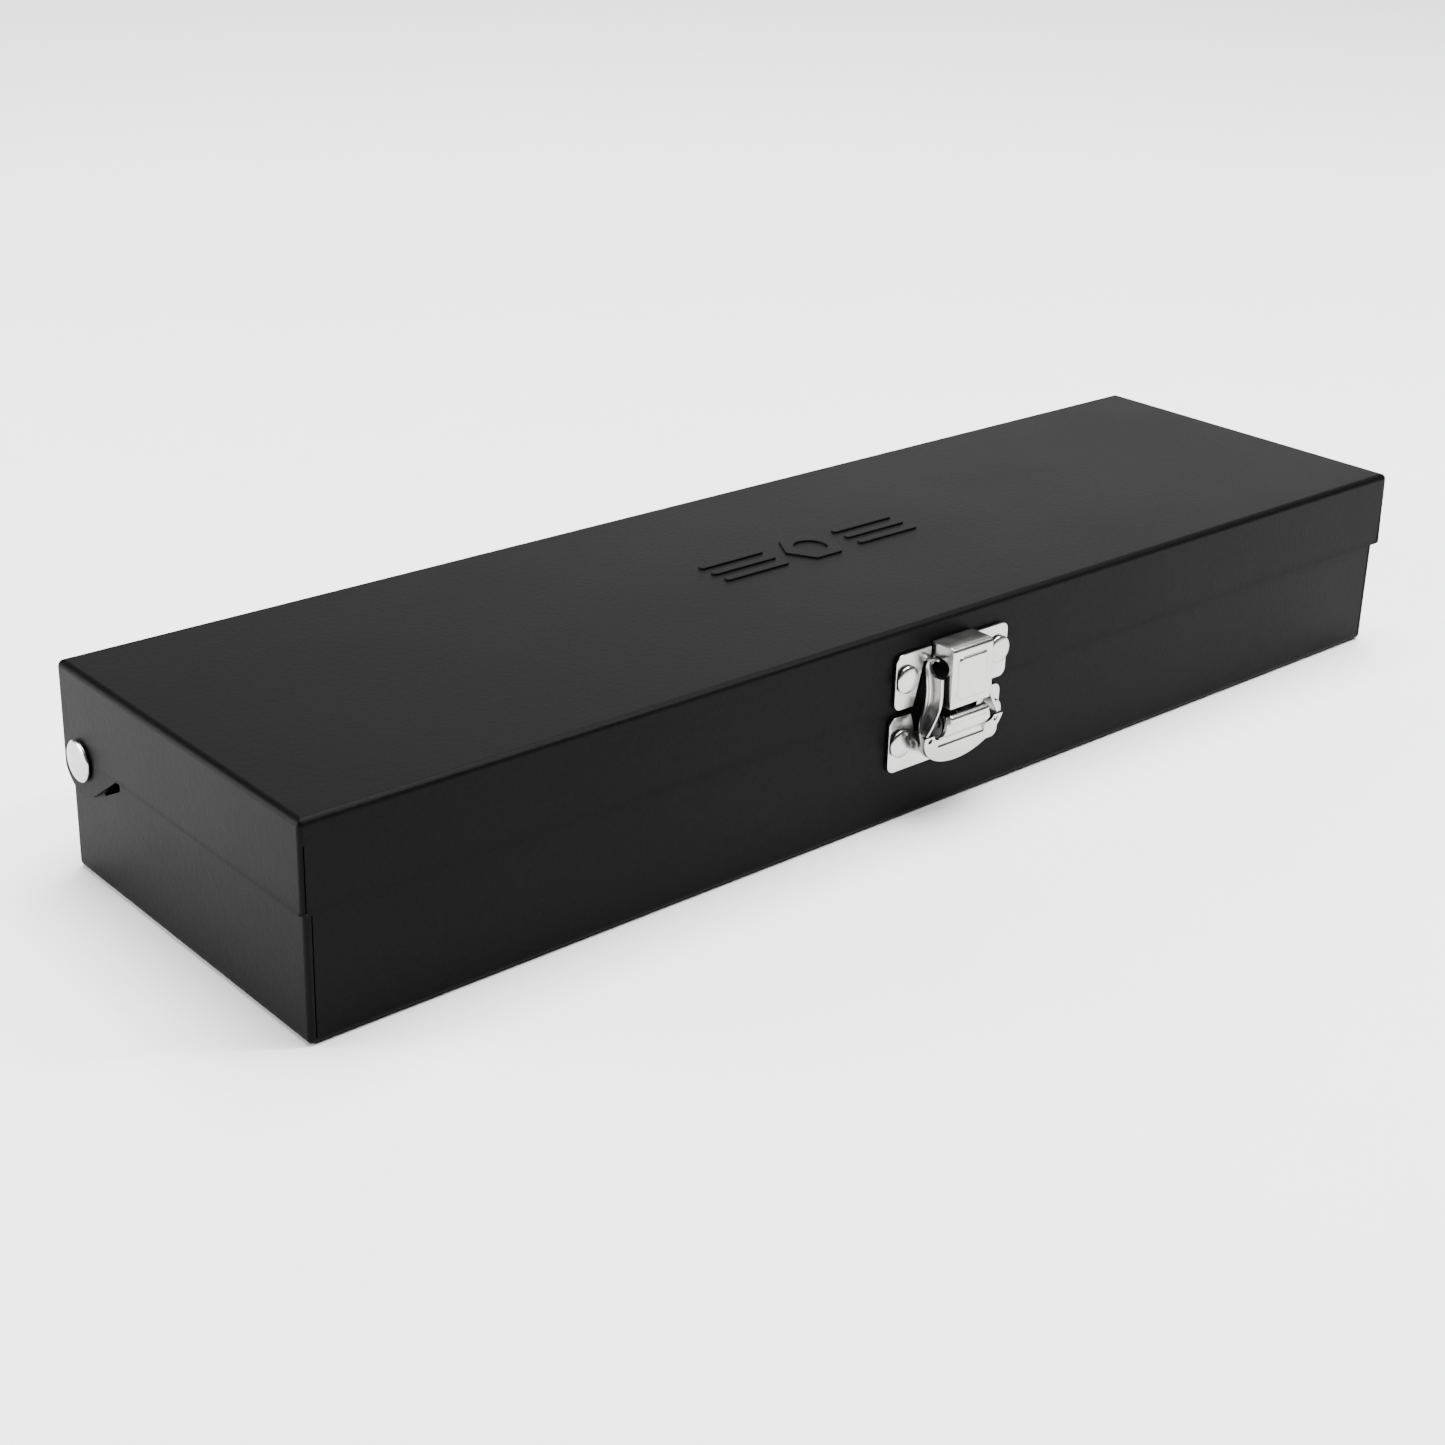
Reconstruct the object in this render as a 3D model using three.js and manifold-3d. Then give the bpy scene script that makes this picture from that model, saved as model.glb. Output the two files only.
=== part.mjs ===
// Socket wrench set in a folded steel case.
// Millimetres, +Z up. X runs along the case, the latch is on the -Y side, Z = 0 is the resting face.
import * as THREE from "three";
import { mergeVertices } from "three/addons/utils/BufferGeometryUtils.js";
import Module from "manifold-3d";

const wasm = await Module();
wasm.setup();

// ---- Driving dimensions ----------------------------------------------------------------

const gap = 0.35; // between pieces that touch on the real object
const runningGap = 0.3; // pins and shafts in their holes, per side

// Case shells
const caseLength = 380;
const caseWidth = 107;
const caseHeight = 54;
const sheet = 0.9;
const bendRadius = 1.8;
const cornerRadius = 1.2;
const lidLowerEdge = 32.1; // height of the line between lid and base
const baseWallTop = lidLowerEdge + 4.3;
const baseBackTop = caseHeight - 5.6;
const baseRampStart = 20; // where the base's side wall starts to rise to the back
const baseRampEnd = 36;
const flangeLowerEdge = caseHeight - 8.9; // lower edge of the lid's back flange

// Lid pivot
const pivotInset = 9.3; // from the case's back face
const pivotHeight = lidLowerEdge - 0.8;
const lobeRadius = 9.2;
const lobeNotchY = 27.1; // where the lid's lower edge turns down to the lobe
const pivotHeadRadius = 5.2;
const pivotHeadHeight = 1.5;
const pivotShankRadius = 2.4;
const pivotTailRadius = 3.6;
const pivotTailHeight = 0.9;
const washerRadius = 5;
const washerThickness = 0.8;

// Raised motif on the lid
const motifHeight = 0.5;
const motifCentre = [4, 3.5];
const motifNutRadius = 9;
const motifNutHole = 4.6;
const motifBarLength = 22;
const motifBarWidth = 2.2;
const motifBarPitch = 5.2;
const motifBarGap = 4;

// Latch: p is the distance outward from the lid's front face, and heights are counted from the
// line between lid and base
const plateHalfWidth = 20.2;
const plateThickness = 0.8;
const plateCorner = 2.2;
const catchPlateLow = lidLowerEdge + 0.2;
const catchPlateHigh = lidLowerEdge + 15.2;
const latchPlateLow = lidLowerEdge - 17.5;
const latchPlateHigh = lidLowerEdge - 2.3;
const catchBoxHalfWidth = 7.2;
const catchBoxReach = 8.1;
const catchBoxLow = lidLowerEdge - 0.3;
const catchBoxHigh = lidLowerEdge + 16.2;
const catchBoxWall = 0.9;
const catchWallBack = 5.1; // back edge of the box's side wall below its notch
const catchPanelRise = 0.5;
const catchPanelInset = 2.3;
const hookAxis = { p: 4.4, z: lidLowerEdge + 10.1 };
const catchNotchRadius = 2.1;
const hookRadius = 2.3;
const plateRivetX = plateHalfWidth - 3.6;
const catchRivetZ = lidLowerEdge + 8.4;
const latchRivetZ = lidLowerEdge - 9.6;
const plateRivetHead = 3.7;
const plateRivetHeadHeight = 1.2;
const plateRivetShank = 1.6;
const plateRivetTail = 2.6;
const plateRivetTailHeight = 0.8;
const clawSlotTop = lidLowerEdge + 11.7; // top of the openings that the claws pass through
const clawInner = catchBoxHalfWidth + 1.1;
const clawThickness = 1;
const clawFlare = 4.1; // how far the arms spread towards the tab
const clawSlotRoom = 1.3; // beside the arms at the top of their slot
const latchPinRadius = 0.9;
const latchEyeRadius = 1.8;
const latchPivotHigh = { p: 2.05, z: lidLowerEdge - 6.5 }; // link on the latch plate
const latchPivotLow = { p: 2.05, z: lidLowerEdge - 12.9 }; // handle on the link
const plateEarInner = 3;
const latchEarThickness = 1;
const tabHalfWidth = clawInner + 5.9;
const tabLow = lidLowerEdge - 17;
const tabHigh = lidLowerEdge - 6.9;
const tabOuterLow = 4.2; // p of the tab's outer face at its lower end
const tabSlope = 0.25; // p gained for each millimetre of height
const tabThickness = 1;
const ridgeHalfWidth = clawInner - 1.3;
const ridgeAxis = { p: 7.3, z: lidLowerEdge - 3.4 };
const ridgeRadius = 1.4;

// Inserts that hold the tools
const trayTop = 30;
const trayFloor = 3; // height of the pockets' floors
const trayCorner = 2;
const railMargin = 1.35; // between the largest socket and the rail's back edge
const pegHeight = 10; // above the rail
const pegChamfer = 1.2;
const pocketGap = 0.6; // round each tool
const fingerRadius = 11;

// Sockets: across flats and outer diameter at the nut end
const driveSquare = 12.7;
const socketHeight = 38;
const socketTable = [
  { size: 10, outer: 17.5 },
  { size: 11, outer: 18.5 },
  { size: 12, outer: 19 },
  { size: 13, outer: 20 },
  { size: 14, outer: 21.5 },
  { size: 17, outer: 24 },
  { size: 19, outer: 26.5 },
  { size: 21, outer: 29 },
  { size: 22, outer: 30 },
  { size: 24, outer: 32 },
];
const socketDriveOuter = 23.5;
const socketDriveDepth = 16;
const socketNutDepth = 17;
const socketShoulder = 15; // height of the drive end's full diameter
const socketRowMargin = 5.1; // from the rack's ends to the first and last equal space
const squareClearance = 0.3; // added to the drive square in the hole that takes it

// Extension bar, female end towards -X
const extensionLength = 125;
const extensionX = 45; // middle
const extensionSpace = 5.5; // between the bar and the ratchet's grip
const extensionZ = 17;
const extensionShaftRadius = 6.4;
const extensionEndRadius = 11.2;
const extensionEndLength = 26;
const extensionNeck = 6;
const driveLength = 15;
const ballRadius = 2;
const ballProud = 0.7;

// Ratchet, head towards -X
const ratchetLength = 250;
const headRadius = 18.5;
const headFromEnd = 14.6; // from the insert's end
const headFromFront = 1.85; // from the insert's front
const headLow = 18.6;
const headHigh = 34.4;
const headRim = 1.6; // round the cover
const gearRoom = 1.6; // round the gear, inside the head
const pawlRoom = 3.4; // radius of the pawl's pocket
const headFloor = 2.4;
const coverThickness = 1.6;
const coverScrewRadius = 1.6;
const coverScrewShank = 0.9;
const coverScrewDepth = 5;
const coverScrewOffset = 14;
const coverScrewAngle = 55; // from the head's middle line, away from the grip
const gearRadius = 10.2;
const gearToothDepth = 1.1;
const gearTeeth = 24;
const gearHeight = 9;
const hubRadius = 8.8;
const shaftRadius = 7;
const gripLength = 108;
const gripRadius = 12.8;
const leverOffset = 12.4; // reversing lever's axis from the head's axis, towards the grip
const leverPinRadius = 2.2;
const leverHubRadius = 4;
const leverLength = 11;
const leverAngle = 33; // either side of the shaft
const leverHeight = 3.4;
const pawlReach = 4.2;
const pawlHeight = 8;
const buttonRadius = 3.1;
const buttonProud = 5;
const buttonTravel = 2.5;

// Facets round a turned piece
const largeRound = 26;
const plainRound = 20;
const smallRound = 14;

// ---- Values worked out from them ---------------------------------------------------------

const lidHalfX = caseLength / 2;
const lidHalfY = caseWidth / 2;
const baseHalfX = lidHalfX - sheet - gap;
const baseHalfY = lidHalfY - sheet - gap;
const pivotY = lidHalfY - pivotInset;
const baseInnerX = baseHalfX - sheet;
const baseInnerY = baseHalfY - sheet;
const trayHalfX = baseInnerX - gap - washerThickness - gap - pivotTailHeight - gap;
const trayHalfY = baseInnerY - gap - plateRivetTailHeight - gap;
const trayLow = sheet + gap;
const socketRowHalf = trayHalfX - socketRowMargin;
const largestSocket = Math.max(socketDriveOuter, ...socketTable.map(({ outer }) => outer)) / 2;
const socketRowY = trayHalfY - railMargin - largestSocket;
const railFront = socketRowY - largestSocket - pocketGap - railMargin;
const ratchetHeadX = headFromEnd + headRadius - trayHalfX;
const ratchetY = headFromFront + headRadius - trayHalfY;
const extensionY = ratchetY + gripRadius + extensionSpace + extensionEndRadius;
const headAxis = { x: ratchetHeadX, y: ratchetY };
const ratchetZ = (headLow + headHigh) / 2;
const gearLow = headLow + headFloor + gap;
const gripEndX = ratchetHeadX - headRadius + ratchetLength;
const gripStartX = gripEndX - gripLength;
const coverLow = headHigh - coverThickness;
const claspHole = plateRivetShank + runningGap;
const pivotHole = pivotShankRadius + runningGap;

// ---- Materials ---------------------------------------------------------------------------

const finish = (color, metalness, roughness) => () =>
  new THREE.MeshStandardMaterial({ color, metalness, roughness });
const powderCoat = finish(0x1d1d1f, 0.1, 0.62);
const nickel = finish(0xc9c9c6, 1, 0.28);
const chrome = finish(0xdadcde, 1, 0.12);
const darkSteel = finish(0x5c5d60, 1, 0.4);
const trayPlastic = finish(0x24262a, 0, 0.6);
const gripPlastic = finish(0x1b1c1e, 0, 0.5);

// ---- Solids ------------------------------------------------------------------------------

function signedVolume(geometry) {
  const position = geometry.getAttribute("position");
  const index = geometry.getIndex();
  const [a, b, c] = [new THREE.Vector3(), new THREE.Vector3(), new THREE.Vector3()];
  let volume = 0;
  for (let i = 0; i < index.count; i += 3) {
    a.fromBufferAttribute(position, index.getX(i));
    b.fromBufferAttribute(position, index.getX(i + 1));
    c.fromBufferAttribute(position, index.getX(i + 2));
    volume += a.dot(b.cross(c)) / 6;
  }
  return volume;
}

// A closed geometry becomes a solid, with its faces turned outward where they point in.
function solid(geometry) {
  geometry.deleteAttribute("normal");
  geometry.deleteAttribute("uv");
  const merged = mergeVertices(geometry, 1e-4);
  const triVerts = Uint32Array.from(merged.getIndex().array);
  if (signedVolume(merged) < 0) {
    for (let i = 0; i < triVerts.length; i += 3) {
      [triVerts[i + 1], triVerts[i + 2]] = [triVerts[i + 2], triVerts[i + 1]];
    }
  }
  const vertProperties = Float32Array.from(merged.getAttribute("position").array);
  return new wasm.Manifold(new wasm.Mesh({ numProp: 3, vertProperties, triVerts }));
}

const joined = (solids) => solids.reduce((all, next) => all.add(next));
const cut = (body, tools) => tools.reduce((rest, tool) => rest.subtract(tool), body);

function block(x0, x1, y0, y1, z0, z1) {
  const geometry = new THREE.BoxGeometry(x1 - x0, y1 - y0, z1 - z0);
  geometry.translate((x0 + x1) / 2, (y0 + y1) / 2, (z0 + z1) / 2);
  return solid(geometry);
}

const shapeOf = (points) => new THREE.Shape(points.map(([x, y]) => new THREE.Vector2(x, y)));

function extruded(points, depth, basis, offset) {
  const geometry = new THREE.ExtrudeGeometry(shapeOf(points), { depth, bevelEnabled: false });
  geometry.applyMatrix4(new THREE.Matrix4().makeBasis(...basis));
  geometry.translate(...offset);
  return solid(geometry);
}

const axisX = new THREE.Vector3(1, 0, 0);
const axisY = new THREE.Vector3(0, 1, 0);
const axisZ = new THREE.Vector3(0, 0, 1);

// Outlines in XY pulled along Z, in YZ pulled along X, and in XZ pulled along Y.
const prismZ = (points, z0, z1) => extruded(points, z1 - z0, [axisX, axisY, axisZ], [0, 0, z0]);
const prismX = (points, x0, x1) => extruded(points, x1 - x0, [axisY, axisZ, axisX], [x0, 0, 0]);
const prismY = (points, y0, y1) =>
  extruded(points, y1 - y0, [axisX, axisZ, axisY.clone().negate()], [0, y1, 0]);

// A profile of [radius, height] turned about Z, then laid along the wanted axis.
function turned(profile, segments, { axis = "z", at = [0, 0, 0] } = {}) {
  const points = profile.map(([r, h]) => new THREE.Vector2(r, h));
  const geometry = new THREE.LatheGeometry(points, segments);
  geometry.rotateX(Math.PI / 2);
  if (axis === "x") geometry.rotateY(Math.PI / 2);
  if (axis === "-x") geometry.rotateY(-Math.PI / 2);
  if (axis === "-y") geometry.rotateX(Math.PI / 2);
  geometry.translate(...at);
  return solid(geometry);
}

function rod(radius, h0, h1, segments, placing) {
  return turned([[0, h0], [radius, h0], [radius, h1], [0, h1]], segments, placing);
}

function arcPoints(cx, cy, radius, from, to, steps) {
  const angle = (i) => ((from + ((to - from) * i) / steps) * Math.PI) / 180;
  const place = (a) => [cx + radius * Math.cos(a), cy + radius * Math.sin(a)];
  return Array.from({ length: steps + 1 }, (_, i) => place(angle(i)));
}

function roundedRectangle(x0, x1, y0, y1, radius, steps = 3) {
  return [
    ...arcPoints(x1 - radius, y0 + radius, radius, -90, 0, steps),
    ...arcPoints(x1 - radius, y1 - radius, radius, 0, 90, steps),
    ...arcPoints(x0 + radius, y1 - radius, radius, 90, 180, steps),
    ...arcPoints(x0 + radius, y0 + radius, radius, 180, 270, steps),
  ];
}

function regularPolygon(cx, cy, radius, sides, turn = 0) {
  return arcPoints(cx, cy, radius, turn, turn + 360 - 360 / sides, sides - 1);
}

// Rounds of two circles joined by their outer tangents.
function capsule(a, b, radiusA, radiusB = radiusA) {
  const along = (Math.atan2(b[1] - a[1], b[0] - a[0]) * 180) / Math.PI;
  const distance = Math.hypot(b[0] - a[0], b[1] - a[1]);
  const lean = (Math.acos((radiusA - radiusB) / distance) * 180) / Math.PI;
  return [
    ...arcPoints(b[0], b[1], radiusB, along - lean, along + lean, 6),
    ...arcPoints(a[0], a[1], radiusA, along + lean, along + 360 - lean, 8),
  ];
}

// Rings of equal point count stacked into one closed body.
function stacked(rings) {
  const count = rings[0].length;
  const positions = rings.flat(2);
  const index = [];
  for (let level = 0; level < rings.length - 1; level += 1) {
    for (let i = 0; i < count; i += 1) {
      const a = level * count + i;
      const b = level * count + ((i + 1) % count);
      index.push(a, b, b + count, a, b + count, a + count);
    }
  }
  const last = (rings.length - 1) * count;
  for (let i = 1; i < count - 1; i += 1) {
    index.push(0, i + 1, i);
    index.push(last, last + i, last + i + 1);
  }
  const geometry = new THREE.BufferGeometry();
  geometry.setAttribute("position", new THREE.Float32BufferAttribute(positions, 3));
  geometry.setIndex(index);
  return solid(geometry);
}

// A box with upright corners of one radius and a bend of another round one end.
function bentBox(halfX, halfY, corner, low, high, bend, bendEnd) {
  const least = 0.15;
  const ring = (z, inset) => {
    const radius = Math.max(corner - inset, least);
    const outline = roundedRectangle(inset - halfX, halfX - inset, inset - halfY, halfY - inset, radius);
    return outline.map(([x, y]) => [x, y, z]);
  };
  const steps = 3;
  const rings = [];
  for (let i = 0; i <= steps; i += 1) {
    const a = (i / steps) * (Math.PI / 2);
    rings.push({ rise: bend * (1 - Math.sin(a)), inset: bend * (1 - Math.cos(a)) });
  }
  if (bendEnd === "top") {
    return stacked([ring(low, 0), ...rings.map(({ rise, inset }) => ring(high - rise, inset))]);
  }
  return stacked([...rings.reverse().map(({ rise, inset }) => ring(low + rise, inset)), ring(high, 0)]);
}

const frontFace = (p) => -(lidHalfY + p); // Y of a latch depth
const latchProfile = (points, x0, x1) => prismX(points.map(([p, z]) => [frontFace(p), z]), x0, x1);
const latchRod = ({ p, z }, radius, halfLength) =>
  rod(radius, -halfLength, halfLength, smallRound, { axis: "x", at: [0, frontFace(p), z] });
const bothSides = (make) => [make(1), make(-1)];

// ---- Case --------------------------------------------------------------------------------

function pivotHoles() {
  return rod(pivotHole, -caseLength, caseLength, smallRound, { axis: "x", at: [0, pivotY, pivotHeight] });
}

function plateRivetHoles(z) {
  return bothSides((side) =>
    rod(claspHole, 0, 12, smallRound, { axis: "-y", at: [side * plateRivetX, frontFace(-8), z] }));
}

// Everything under the lid's outline seen from the side, as one outline in YZ.
function skirtCutter() {
  const reach = caseWidth;
  const dy = lobeNotchY - pivotY;
  const dz = lidLowerEdge - pivotHeight;
  const toCorner = (Math.atan2(dz, dy) * 180) / Math.PI;
  const tangent = (Math.acos(lobeRadius / Math.hypot(dy, dz)) * 180) / Math.PI;
  const backEdge = lidHalfY - sheet;
  const meetsBack = (Math.acos((backEdge - pivotY) / lobeRadius) * 180) / Math.PI;
  const start = (toCorner + 360 + tangent) % 360;
  return prismX(
    [
      [-reach, -reach],
      [-reach, lidLowerEdge],
      [lobeNotchY, lidLowerEdge],
      ...arcPoints(pivotY, pivotHeight, lobeRadius, start, 360 - meetsBack, 14),
      [backEdge, flangeLowerEdge],
      [reach, flangeLowerEdge],
      [reach, -reach],
    ],
    -caseLength,
    caseLength,
  );
}

// A hexagon nut between two groups of three bars, raised on the lid's top.
function lidMotif() {
  const [cx, cy] = motifCentre;
  const low = caseHeight - sheet / 2;
  const high = caseHeight + motifHeight;
  const nut = prismZ(regularPolygon(cx, cy, motifNutRadius, 6), low, high);
  const hole = rod(motifNutHole, low - 1, high + 1, plainRound, { at: [cx, cy, 0] });
  const barStart = motifNutRadius + motifBarGap;
  const bars = bothSides((side) =>
    [-1, 0, 1].map((row) => {
      const middle = cx + side * (barStart + motifBarLength / 2);
      const y = cy + row * motifBarPitch;
      const outline = roundedRectangle(
        middle - motifBarLength / 2,
        middle + motifBarLength / 2,
        y - motifBarWidth / 2,
        y + motifBarWidth / 2,
        motifBarWidth / 2 - 0.01,
        3,
      );
      return prismZ(outline, low, high);
    }));
  return joined([nut.subtract(hole), ...bars.flat()]);
}

function caseLid() {
  const low = pivotHeight - lobeRadius - 1;
  const outer = bentBox(lidHalfX, lidHalfY, cornerRadius, low, caseHeight, bendRadius, "top");
  const inner = bentBox(
    lidHalfX - sheet,
    lidHalfY - sheet,
    cornerRadius - sheet,
    low - 1,
    caseHeight - sheet,
    bendRadius - sheet,
    "top",
  );
  const shell = cut(outer, [inner, skirtCutter(), pivotHoles(), ...plateRivetHoles(catchRivetZ)]);
  return shell.add(lidMotif());
}

function caseBase() {
  const outer = bentBox(baseHalfX, baseHalfY, cornerRadius, 0, baseBackTop, bendRadius, "bottom");
  const inner = bentBox(
    baseInnerX,
    baseInnerY,
    cornerRadius - sheet,
    sheet,
    baseBackTop + 1,
    bendRadius - sheet,
    "bottom",
  );
  const reach = caseWidth;
  const upperCutter = prismX(
    [
      [-reach, baseWallTop],
      [baseRampStart, baseWallTop],
      [baseRampEnd, baseBackTop],
      [baseRampEnd, reach],
      [-reach, reach],
    ],
    -caseLength,
    caseLength,
  );
  const relief = prismX(
    capsule([lobeNotchY + 2, lidLowerEdge - 2.3], [lobeNotchY + 8.2, lidLowerEdge - 6.6], 1.3, 0.4),
    -caseLength,
    caseLength,
  );
  return cut(outer, [inner, upperCutter, relief, pivotHoles(), ...plateRivetHoles(latchRivetZ)]);
}

// A low domed head, a shank and a flat tail, along +Z from the tail at h = 0.
function rivetProfile(head, headHeight, shank, tail, tailHeight, grip) {
  const dome = 3;
  const headLow = tailHeight + grip;
  const crown = [];
  for (let i = 0; i <= dome; i += 1) {
    const a = (i / dome) * (Math.PI / 2);
    crown.push([head * Math.cos(a), headLow + headHeight * (0.35 + 0.65 * Math.sin(a))]);
  }
  crown[dome][0] = 0;
  const tailEnd = [[0, 0], [tail, 0], [tail, tailHeight]];
  return [...tailEnd, [shank, tailHeight], [shank, headLow], [head, headLow], ...crown];
}

const onPivot = (side, inside) => ({ axis: side > 0 ? "x" : "-x", at: [side * inside, pivotY, pivotHeight] });

function hingeRivet(side) {
  const inside = baseInnerX - gap - washerThickness - gap - pivotTailHeight;
  const grip = lidHalfX + gap - inside - pivotTailHeight;
  const profile = rivetProfile(
    pivotHeadRadius,
    pivotHeadHeight,
    pivotShankRadius,
    pivotTailRadius,
    pivotTailHeight,
    grip,
  );
  return turned(profile, plainRound, onPivot(side, inside));
}

function hingeWasher(side) {
  const inside = baseInnerX - gap - washerThickness;
  const profile = [
    [pivotHole, 0],
    [washerRadius, 0],
    [washerRadius, washerThickness],
    [pivotHole, washerThickness],
    [pivotHole, 0],
  ];
  return turned(profile, smallRound, onPivot(side, inside));
}

// ---- Latch -------------------------------------------------------------------------------

const catchPlateBack = gap;
const catchPlateFront = gap + plateThickness;
const latchPlateBack = frontFace(0) + baseHalfY + gap;
const latchPlateFront = latchPlateBack + plateThickness;

function plateRivet(side, z, wallBack, plateFront) {
  const tailLow = wallBack - gap - plateRivetTailHeight;
  const profile = rivetProfile(
    plateRivetHead,
    plateRivetHeadHeight,
    plateRivetShank,
    plateRivetTail,
    plateRivetTailHeight,
    plateFront + gap - tailLow - plateRivetTailHeight,
  );
  return turned(profile, smallRound + 2, { axis: "-y", at: [side * plateRivetX, frontFace(tailLow), z] });
}

// The boxed catch: front, top and two notched side walls, open below and behind.
function catchBox() {
  const corner = 1.3;
  const round = arcPoints(catchBoxReach - corner, catchBoxHigh - corner, corner, 90, 0, 4);
  const notch = arcPoints(hookAxis.p, hookAxis.z, catchNotchRadius, -60, 90, 8);
  const wall = [
    [catchPlateBack, catchBoxHigh],
    ...round,
    [catchBoxReach, catchBoxLow],
    [catchWallBack, catchBoxLow],
    ...notch,
    [catchPlateFront + 0.4, hookAxis.z + catchNotchRadius],
    [catchPlateBack, hookAxis.z + catchNotchRadius + 0.4],
  ];
  const hollow = [
    [catchPlateFront, catchBoxHigh - catchBoxWall],
    [catchBoxReach - corner, catchBoxHigh - catchBoxWall],
    [catchBoxReach - catchBoxWall, catchBoxHigh - corner],
    [catchBoxReach - catchBoxWall, catchBoxLow - 1],
    [catchPlateFront, catchBoxLow - 1],
  ];
  const inside = catchBoxHalfWidth - catchBoxWall;
  const box = latchProfile(wall, -catchBoxHalfWidth, catchBoxHalfWidth);
  const panel = roundedRectangle(
    catchPanelInset - catchBoxHalfWidth,
    catchBoxHalfWidth - catchPanelInset,
    catchBoxLow + catchPanelInset,
    catchBoxHigh - catchPanelInset - corner / 2,
    0.8,
  );
  const raised = prismY(panel, frontFace(catchBoxReach + catchPanelRise), frontFace(catchBoxReach - 0.4));
  return box.subtract(latchProfile(hollow, -inside, inside)).add(raised);
}

function latchSheet(low, high, back, front) {
  const outline = roundedRectangle(-plateHalfWidth, plateHalfWidth, low, high, plateCorner);
  return prismY(outline, frontFace(front), frontFace(back));
}

function catchPlate() {
  const plate = latchSheet(catchPlateLow, catchPlateHigh, catchPlateBack, catchPlateFront);
  const lowerHalf = clawInner + clawThickness + clawFlare;
  const upperHalf = clawInner + clawThickness + clawSlotRoom;
  const opening = [
    [-lowerHalf, catchPlateLow - 1],
    [lowerHalf, catchPlateLow - 1],
    [upperHalf, clawSlotTop],
    [-upperHalf, clawSlotTop],
  ];
  const through = prismY(opening, frontFace(catchPlateFront + 1), frontFace(catchPlateBack - 1));
  return cut(plate, [through, ...plateRivetHoles(catchRivetZ)]).add(catchBox());
}

const eye = ({ p, z }, foot) => capsule([p, z], foot, latchEyeRadius);

function latchPlate() {
  const plate = latchSheet(latchPlateLow, latchPlateHigh, latchPlateBack, latchPlateFront);
  const vCut = prismY(
    [
      [-clawInner - 2.7, latchPlateHigh - 5.8],
      [clawInner + 2.7, latchPlateHigh - 5.8],
      [clawInner + 4.9, latchPlateHigh + 1],
      [-clawInner - 4.9, latchPlateHigh + 1],
    ],
    frontFace(latchPlateFront + 1),
    frontFace(latchPlateBack - 1),
  );
  const footZ = latchPlateHigh - 8;
  const ears = bothSides((side) => {
    const inner = side > 0 ? plateEarInner : -plateEarInner - latchEarThickness;
    const profile = [
      [latchPlateBack, footZ - latchEyeRadius],
      [latchPlateFront, footZ - latchEyeRadius],
      ...arcPoints(latchPivotHigh.p, latchPivotHigh.z, latchEyeRadius, -50, 180, 10),
      [latchPlateBack, latchPivotHigh.z - latchEyeRadius],
    ];
    return latchProfile(profile, inner, inner + latchEarThickness);
  });
  const holes = [latchRod(latchPivotHigh, latchPinRadius + runningGap, 20), ...plateRivetHoles(latchRivetZ)];
  return cut(joined([cut(plate, [vCut]), ...ears]), holes);
}

const linkInner = plateEarInner + latchEarThickness + gap;
const linkOuter = linkInner + latchEarThickness;

function latchLink() {
  const cheeks = bothSides((side) => {
    const inner = side > 0 ? linkInner : -linkOuter;
    const profile = eye(latchPivotHigh, [latchPivotLow.p, latchPivotLow.z]);
    return latchProfile(profile, inner, inner + latchEarThickness);
  });
  const middle = (latchPivotHigh.z + latchPivotLow.z) / 2;
  const webFront = latchPivotLow.p + latchEyeRadius;
  const web = latchProfile(
    [
      [webFront - 0.8, middle - 1.2],
      [webFront, middle - 1.2],
      [webFront, middle + 1.2],
      [webFront - 0.8, middle + 1.2],
    ],
    -linkOuter + 0.1,
    linkOuter - 0.1,
  );
  const holeRadius = latchPinRadius + runningGap;
  const holes = [latchPivotHigh, latchPivotLow].map((at) => latchRod(at, holeRadius, 20));
  return cut(joined([...cheeks, web]), holes);
}

const tabOuter = (z) => tabOuterLow + tabSlope * (z - tabLow);

// One claw arm: it stands upright beside the catch and flares out to the tab's rim below.
function clawArm(side) {
  const foot = tabHigh - 3.2;
  const sections = [
    { rise: foot - lidLowerEdge, spread: 3.9, back: tabOuter(foot) - 1.2, front: tabOuter(foot) - 0.2 },
    { rise: -6.6, spread: clawFlare, back: 3.6, front: 6.4 },
    { rise: -4.1, spread: 2.7, back: 2.9, front: 6.5 },
    { rise: -1.1, spread: 1, back: 3.2, front: 6.6 },
    { rise: 0.9, spread: 0.3, back: 3.6, front: 6.6 },
    { rise: 3.9, spread: 0, back: 3.2, front: 6.5 },
    { rise: 7.3, spread: 0, back: 1.9, front: 6.4 },
    { rise: 10.4, spread: 0, back: 0.5, front: 6.2 },
    { rise: 12, spread: 0, back: 1.3, front: 5.2 },
    { rise: 12.7, spread: 0, back: 2.4, front: 4.4 },
  ];
  const ring = ({ rise, spread, back, front }) => {
    const x = side * (clawInner + spread);
    const outerX = x + side * clawThickness;
    const z = lidLowerEdge + rise;
    const corners = [[x, front], [outerX, front], [outerX, back], [x, back]];
    return corners.map(([across, p]) => [across, frontFace(p), z]);
  };
  const arm = stacked(sections.map(ring));
  const reach = hookRadius * 2.6;
  const mouth = latchProfile(
    [
      ...arcPoints(hookAxis.p, hookAxis.z, hookRadius, 80, 260, 12),
      [hookAxis.p + reach, hookAxis.z - hookRadius + 0.2],
      [hookAxis.p + reach, hookAxis.z + hookRadius + 2],
    ],
    -20,
    20,
  );
  return arm.subtract(mouth);
}

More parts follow.
